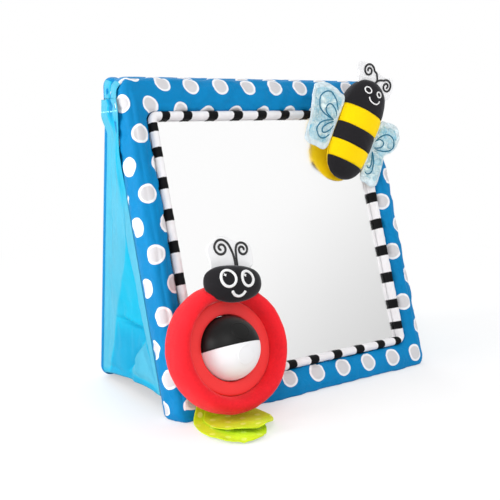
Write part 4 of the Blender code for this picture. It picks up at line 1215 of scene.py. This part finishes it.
wingLook = {
    "thickness": 0.0020, "pale": (0.20, 0.53, 0.70), "paintedHighlight": (0.86, 1.0, 1.0), "edge": (0.76, 0.90, 0.96),
    "thread": (0.0, 0.17, 0.30), "threadRadius": 0.0008,
    # Each stitched loop runs out from the root to its tip, with its width
    "Left": {
        "size": (0.0446, 0.061), "root": (-0.001, -0.023),
        "shares": ((0.0, 0.0), (0.23, 0.126), (0.65, 0.16), (0.955, 0.067), (1.0, -0.062), (0.81, -0.554),
                   (0.72, -0.93), (0.36, -0.97), (0.0, -0.86)),
        "loops": (((-0.0312, -0.0026), 0.0145), ((-0.0202, -0.0118), 0.0072), ((-0.0195, -0.0460), 0.0115),
                  ((-0.0149, -0.0410), 0.0050))},
    "Right": {
        "size": (0.0305, 0.067), "root": (0.001, -0.0255),
        "shares": ((0.0, 0.0), (0.32, 0.13), (0.75, 0.12), (1.0, -0.06), (0.92, -0.3), (0.66, -0.443),
                   (0.73, -0.673), (0.74, -0.98), (0.36, -1.0), (0.0, -0.87)),
        "loops": (((0.0245, -0.0082), 0.0120), ((0.0125, -0.0145), 0.0058), ((0.0080, -0.0560), 0.0072),
                  ((0.0066, -0.0490), 0.0036))}}


def makeWingCloth(name, look):
    made, tree, shader, place, flat = startMaterial(name, look["pale"], Sheen_Weight=0.3, Sheen_Roughness=0.3,
                                                    Roughness=0.25, Specular_IOR_Level=0.6)
    height, shade = creased(tree, place, 150.0, 0.6)
    # Painted highlight: the creases' shade mask mixes a near-white into the satin
    paintedHighlight = mixed(tree, shade, toned(tree, look["pale"], place, 60.0, 0.2), look["paintedHighlight"])
    rim = span(tree, node(tree, "SeparateXYZ", Vector=flat)["X"], 0.82, 0.88, "SMOOTHSTEP")
    finishSkin(tree, shader, mixed(tree, rim, paintedHighlight, look["edge"]), (height, 1.0, 0.003), (rim, 0.3, 0.0005),
               (woven(tree, place, 1300.0), 0.15, 0.0002))
    return made


def petal(root, tip, width):
    # A sewn loop from the root out to a round tip and back: the distance out rises and falls as a sine while
    # the sideways distance is a sine of twice the angle, drawn in towards the root
    axis = np.array(tip) - root
    side = np.array([-axis[1], axis[0]]) / np.linalg.norm(axis)
    t = math.pi * np.linspace(0.02, 0.98, 40)[:, None]
    return root + axis * np.sin(t) ** 0.8 - side * np.cos(t) * np.sin(t) ** 0.6 * 1.35 * width


def addWing(name, side, place, look):
    shape, half = look[name], look["thickness"] / 2
    outline = smoothLoop(np.array(shape["shares"]) * (side * shape["size"][0], shape["size"][1]), 220)
    outline[:, 0] = side * np.maximum(outline[:, 0] * side, 0.0)
    wave = lambda flat: ((0.0009 * ripple(flat, 0.022, 91 + side) + 0.0004 * ripple(flat, 0.008, 95 + side))
                         * smoothStep(0.0, 0.008, np.abs(flat[..., 0])))
    height = lambda path: (half + wave(path)) * smoothStep(0.001, 0.008, np.abs(path[:, 0]))
    centre = np.array([side * shape["size"][0] * 0.45, -shape["size"][1] * 0.35])
    nodeName = "bee_" + name.lower() + "_wing"
    addPiece("bee" + name + "Wing", pillow(outline, centre, look["thickness"], wave, place, 44), wingCloth,
             nodeName + "_body", nodeName)
    loops = [petal(shape["root"], tip, width) for tip, width in shape["loops"]]
    addPiece("bee" + name + "WingStitching", stitches(loops, height, look["threadRadius"], place), tealThread,
             nodeName + "_body")


wingCloth = makeWingCloth("wingSatin", wingLook)
tealThread = clothMaterial("tealThread", wingLook["thread"], 0.5, threads=2200.0, creases=0.1)
addWing("Left", -1, leftWing, wingLook)
addWing("Right", 1, rightWing, wingLook)
print("wings made")


# Hard and hidden pieces keep their frame shapes and get finishes

def makeMirror(name):
    made, tree, shader, place, flat = startMaterial(name, (0.93, 0.935, 0.94), Metallic=1.0, Specular_IOR_Level=0.5,
                                                    Base_Color=(0.985, 0.985, 0.985, 1))
    worn = useGroup(tree, marksGroup, Place=place, Base=0.14, Amount=0.04)
    waver = node(tree, "Bump", Strength=0.05, Distance=0.002, Height=noise(tree, place, 9.0, 1.0))[0]
    plug(tree, shader, {"Roughness": worn["Roughness"], "Normal": waver})
    return made


finishes = {
    makeMirror("plasticMirror"): ("mirror_sheet",),
    clothMaterial("foam", (0.85, 0.82, 0.7), 0.95, threads=500.0, creases=0.6, creaseScale=400.0): (
        "foam_ring", "foam_core"),
    clothMaterial("fibreBoard", (0.42, 0.3, 0.18), 0.85, tone=0.15, creaseScale=200.0): (
        "backing_board", "back_board"),
    clothMaterial("hookAndLoop", (0.72, 0.72, 0.72), 0.95, creases=0.9, creaseScale=900.0): (
        "ladybird_loop_patch", "ladybird_hook_patch", "bee_loop_patch", "bee_hook_patch"),
    plasticMaterial("steel", (0.62, 0.62, 0.63), 0.25, specular=0.5, metallic=1.0): ("ball_axle",),
    whitePlastic: ("rattle_bead_1", "rattle_bead_2", "rattle_bead_3")}
for finish, names in finishes.items():
    for name in names:
        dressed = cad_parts[name].data.materials
        dressed.clear()
        dressed.append(finish)
print("frame pieces dressed")


# Floor, light and camera

studio = {
    "floor": (0.95, 0.95, 0.955), "ambient": 0.72, "floorGlow": 0.45, "glowFrom": 0.32, "glowTo": 0.95,
    "roomFall": (-1.045, 0.0, 1.503), "roomLevel": 1.094, "roomLeast": 0.6, "aim": (0, 0.05, 0.15),
    "camera": {"place": (-0.5282, -0.6501, 0.2982), "pitch": 90 - 10.132, "turn": -34.906, "lens": 59.0},
    # Each lamp's name, place, size, power and whether gloss shows it
    "lamps": (("keyLamp", (-1.0, -1.0, 1.4), 0.9, 9.0, True), ("sideLamp", (1.2, -0.7, 0.9), 0.8, 4.0, False),
              ("leftLamp", (-1.4, 0.25, 0.55), 0.7, 11.0, True), ("backLamp", (0.3, 1.3, 1.4), 0.9, 5.0, True)),
    # What the photo's mirror doesn't show
    "unseen": ("plushRing", "ladybirdHead", "ladybirdFace", "ladybirdTab", "ladybirdTabCurls", "beeLeftWing",
               "beeLeftWingStitching", "beeRightWing", "beeRightWingStitching", "beeTail", "beeMiddleBand",
               "beeHead", "beeTab")}


def place3d(name, data, place, turn):
    made = bpy.data.objects.new(name, data)
    scene.collection.objects.link(made)
    made.location, made.rotation_euler = place, turn
    return made


def seenRays(tree):
    # 1 for rays from the camera, off gloss and through glass
    rays = node(tree, "LightPath")
    seen = maths(tree, "ADD", rays["Is Camera Ray"], rays["Is Glossy Ray"])
    return maths(tree, "ADD", seen, rays["Is Transmission Ray"], clamp=True)


def makeFloor(look):
    data = bpy.data.meshes.new("floor")
    data.from_pydata([(-4, -4, -0.0002), (4, -4, -0.0002), (4, 4, -0.0002), (-4, 4, -0.0002)], [], [(0, 1, 2, 3)])
    made, tree, shader, place, flat = startMaterial("paleFloor", look["floor"], Roughness=0.9, Specular_IOR_Level=0.1)
    finishSkin(tree, shader, toned(tree, look["floor"], place, 2.0, 0.01))
    # Away from the object the floor glows white for what the camera, gloss and glass see, and keeps its shadow near it
    away = node(tree, "VectorMath", {"operation": "LENGTH"}, i0=place)["Value"]
    glow = span(tree, away, look["glowFrom"], look["glowTo"], "SMOOTHSTEP", first=look["floorGlow"])
    white = node(tree, "Emission", Color=(1, 1, 1, 1), Strength=1.0)[0]
    both = node(tree, "MixShader", i0=maths(tree, "MULTIPLY", glow, seenRays(tree)), i1=shader.outputs[0], i2=white)[0]
    plug(tree, tree.nodes["Material Output"], {"Surface": both})
    data.materials.append(made)
    floor = bpy.data.objects.new("floor", data)
    floor.visible_glossy = False
    scene.collection.objects.link(floor)


def makeRoom(look):
    # The room is white, and a little greyer low on the right for what gloss shows
    world = bpy.data.worlds.new("paleRoom")
    scene.world = world
    world.use_nodes = True
    tree = world.node_tree
    fall = node(tree, "VectorMath", {"operation": "DOT_PRODUCT"}, i0=node(tree, "TexCoord")["Generated"],
                i1=look["roomFall"])["Value"]
    room = maths(tree, "MINIMUM", maths(tree, "ADD", fall, look["roomLevel"]), 1.0)
    glossy = node(tree, "LightPath")["Is Glossy Ray"]
    shown = node(tree, "Mix", {"data_type": "FLOAT"}, i0=glossy, i2=1.0,
                 i3=maths(tree, "MAXIMUM", room, look["roomLeast"]))[0]
    strength = node(tree, "Mix", {"data_type": "FLOAT"}, i0=seenRays(tree), i2=look["ambient"], i3=shown)[0]
    plug(tree, tree.nodes["Background"], {"Color": (1, 1, 1, 1), "Strength": strength})


def makeLights(look):
    for name, place, size, power, inGloss in look["lamps"]:
        lamp = bpy.data.lights.new(name, "AREA")
        lamp.shape, lamp.size, lamp.energy = "DISK", size, power
        away = np.array(place) - look["aim"]
        turn = (math.acos(away[2] / np.linalg.norm(away)), 0, math.atan2(away[1], away[0]) + math.pi / 2)
        place3d(name, lamp, place, turn).visible_glossy = inGloss
    values = look["camera"]
    lens = bpy.data.cameras.new("photoCamera")
    lens.lens, lens.sensor_width = values["lens"], 36.0
    scene.camera = place3d("photoCamera", lens, values["place"],
                           (math.radians(values["pitch"]), 0, math.radians(values["turn"])))
    scene.view_settings.view_transform = "Standard"


for name in studio["unseen"]:
    bpy.data.objects[name].visible_glossy = False
makeFloor(studio)
makeRoom(studio)
makeLights(studio)
print("studio made")
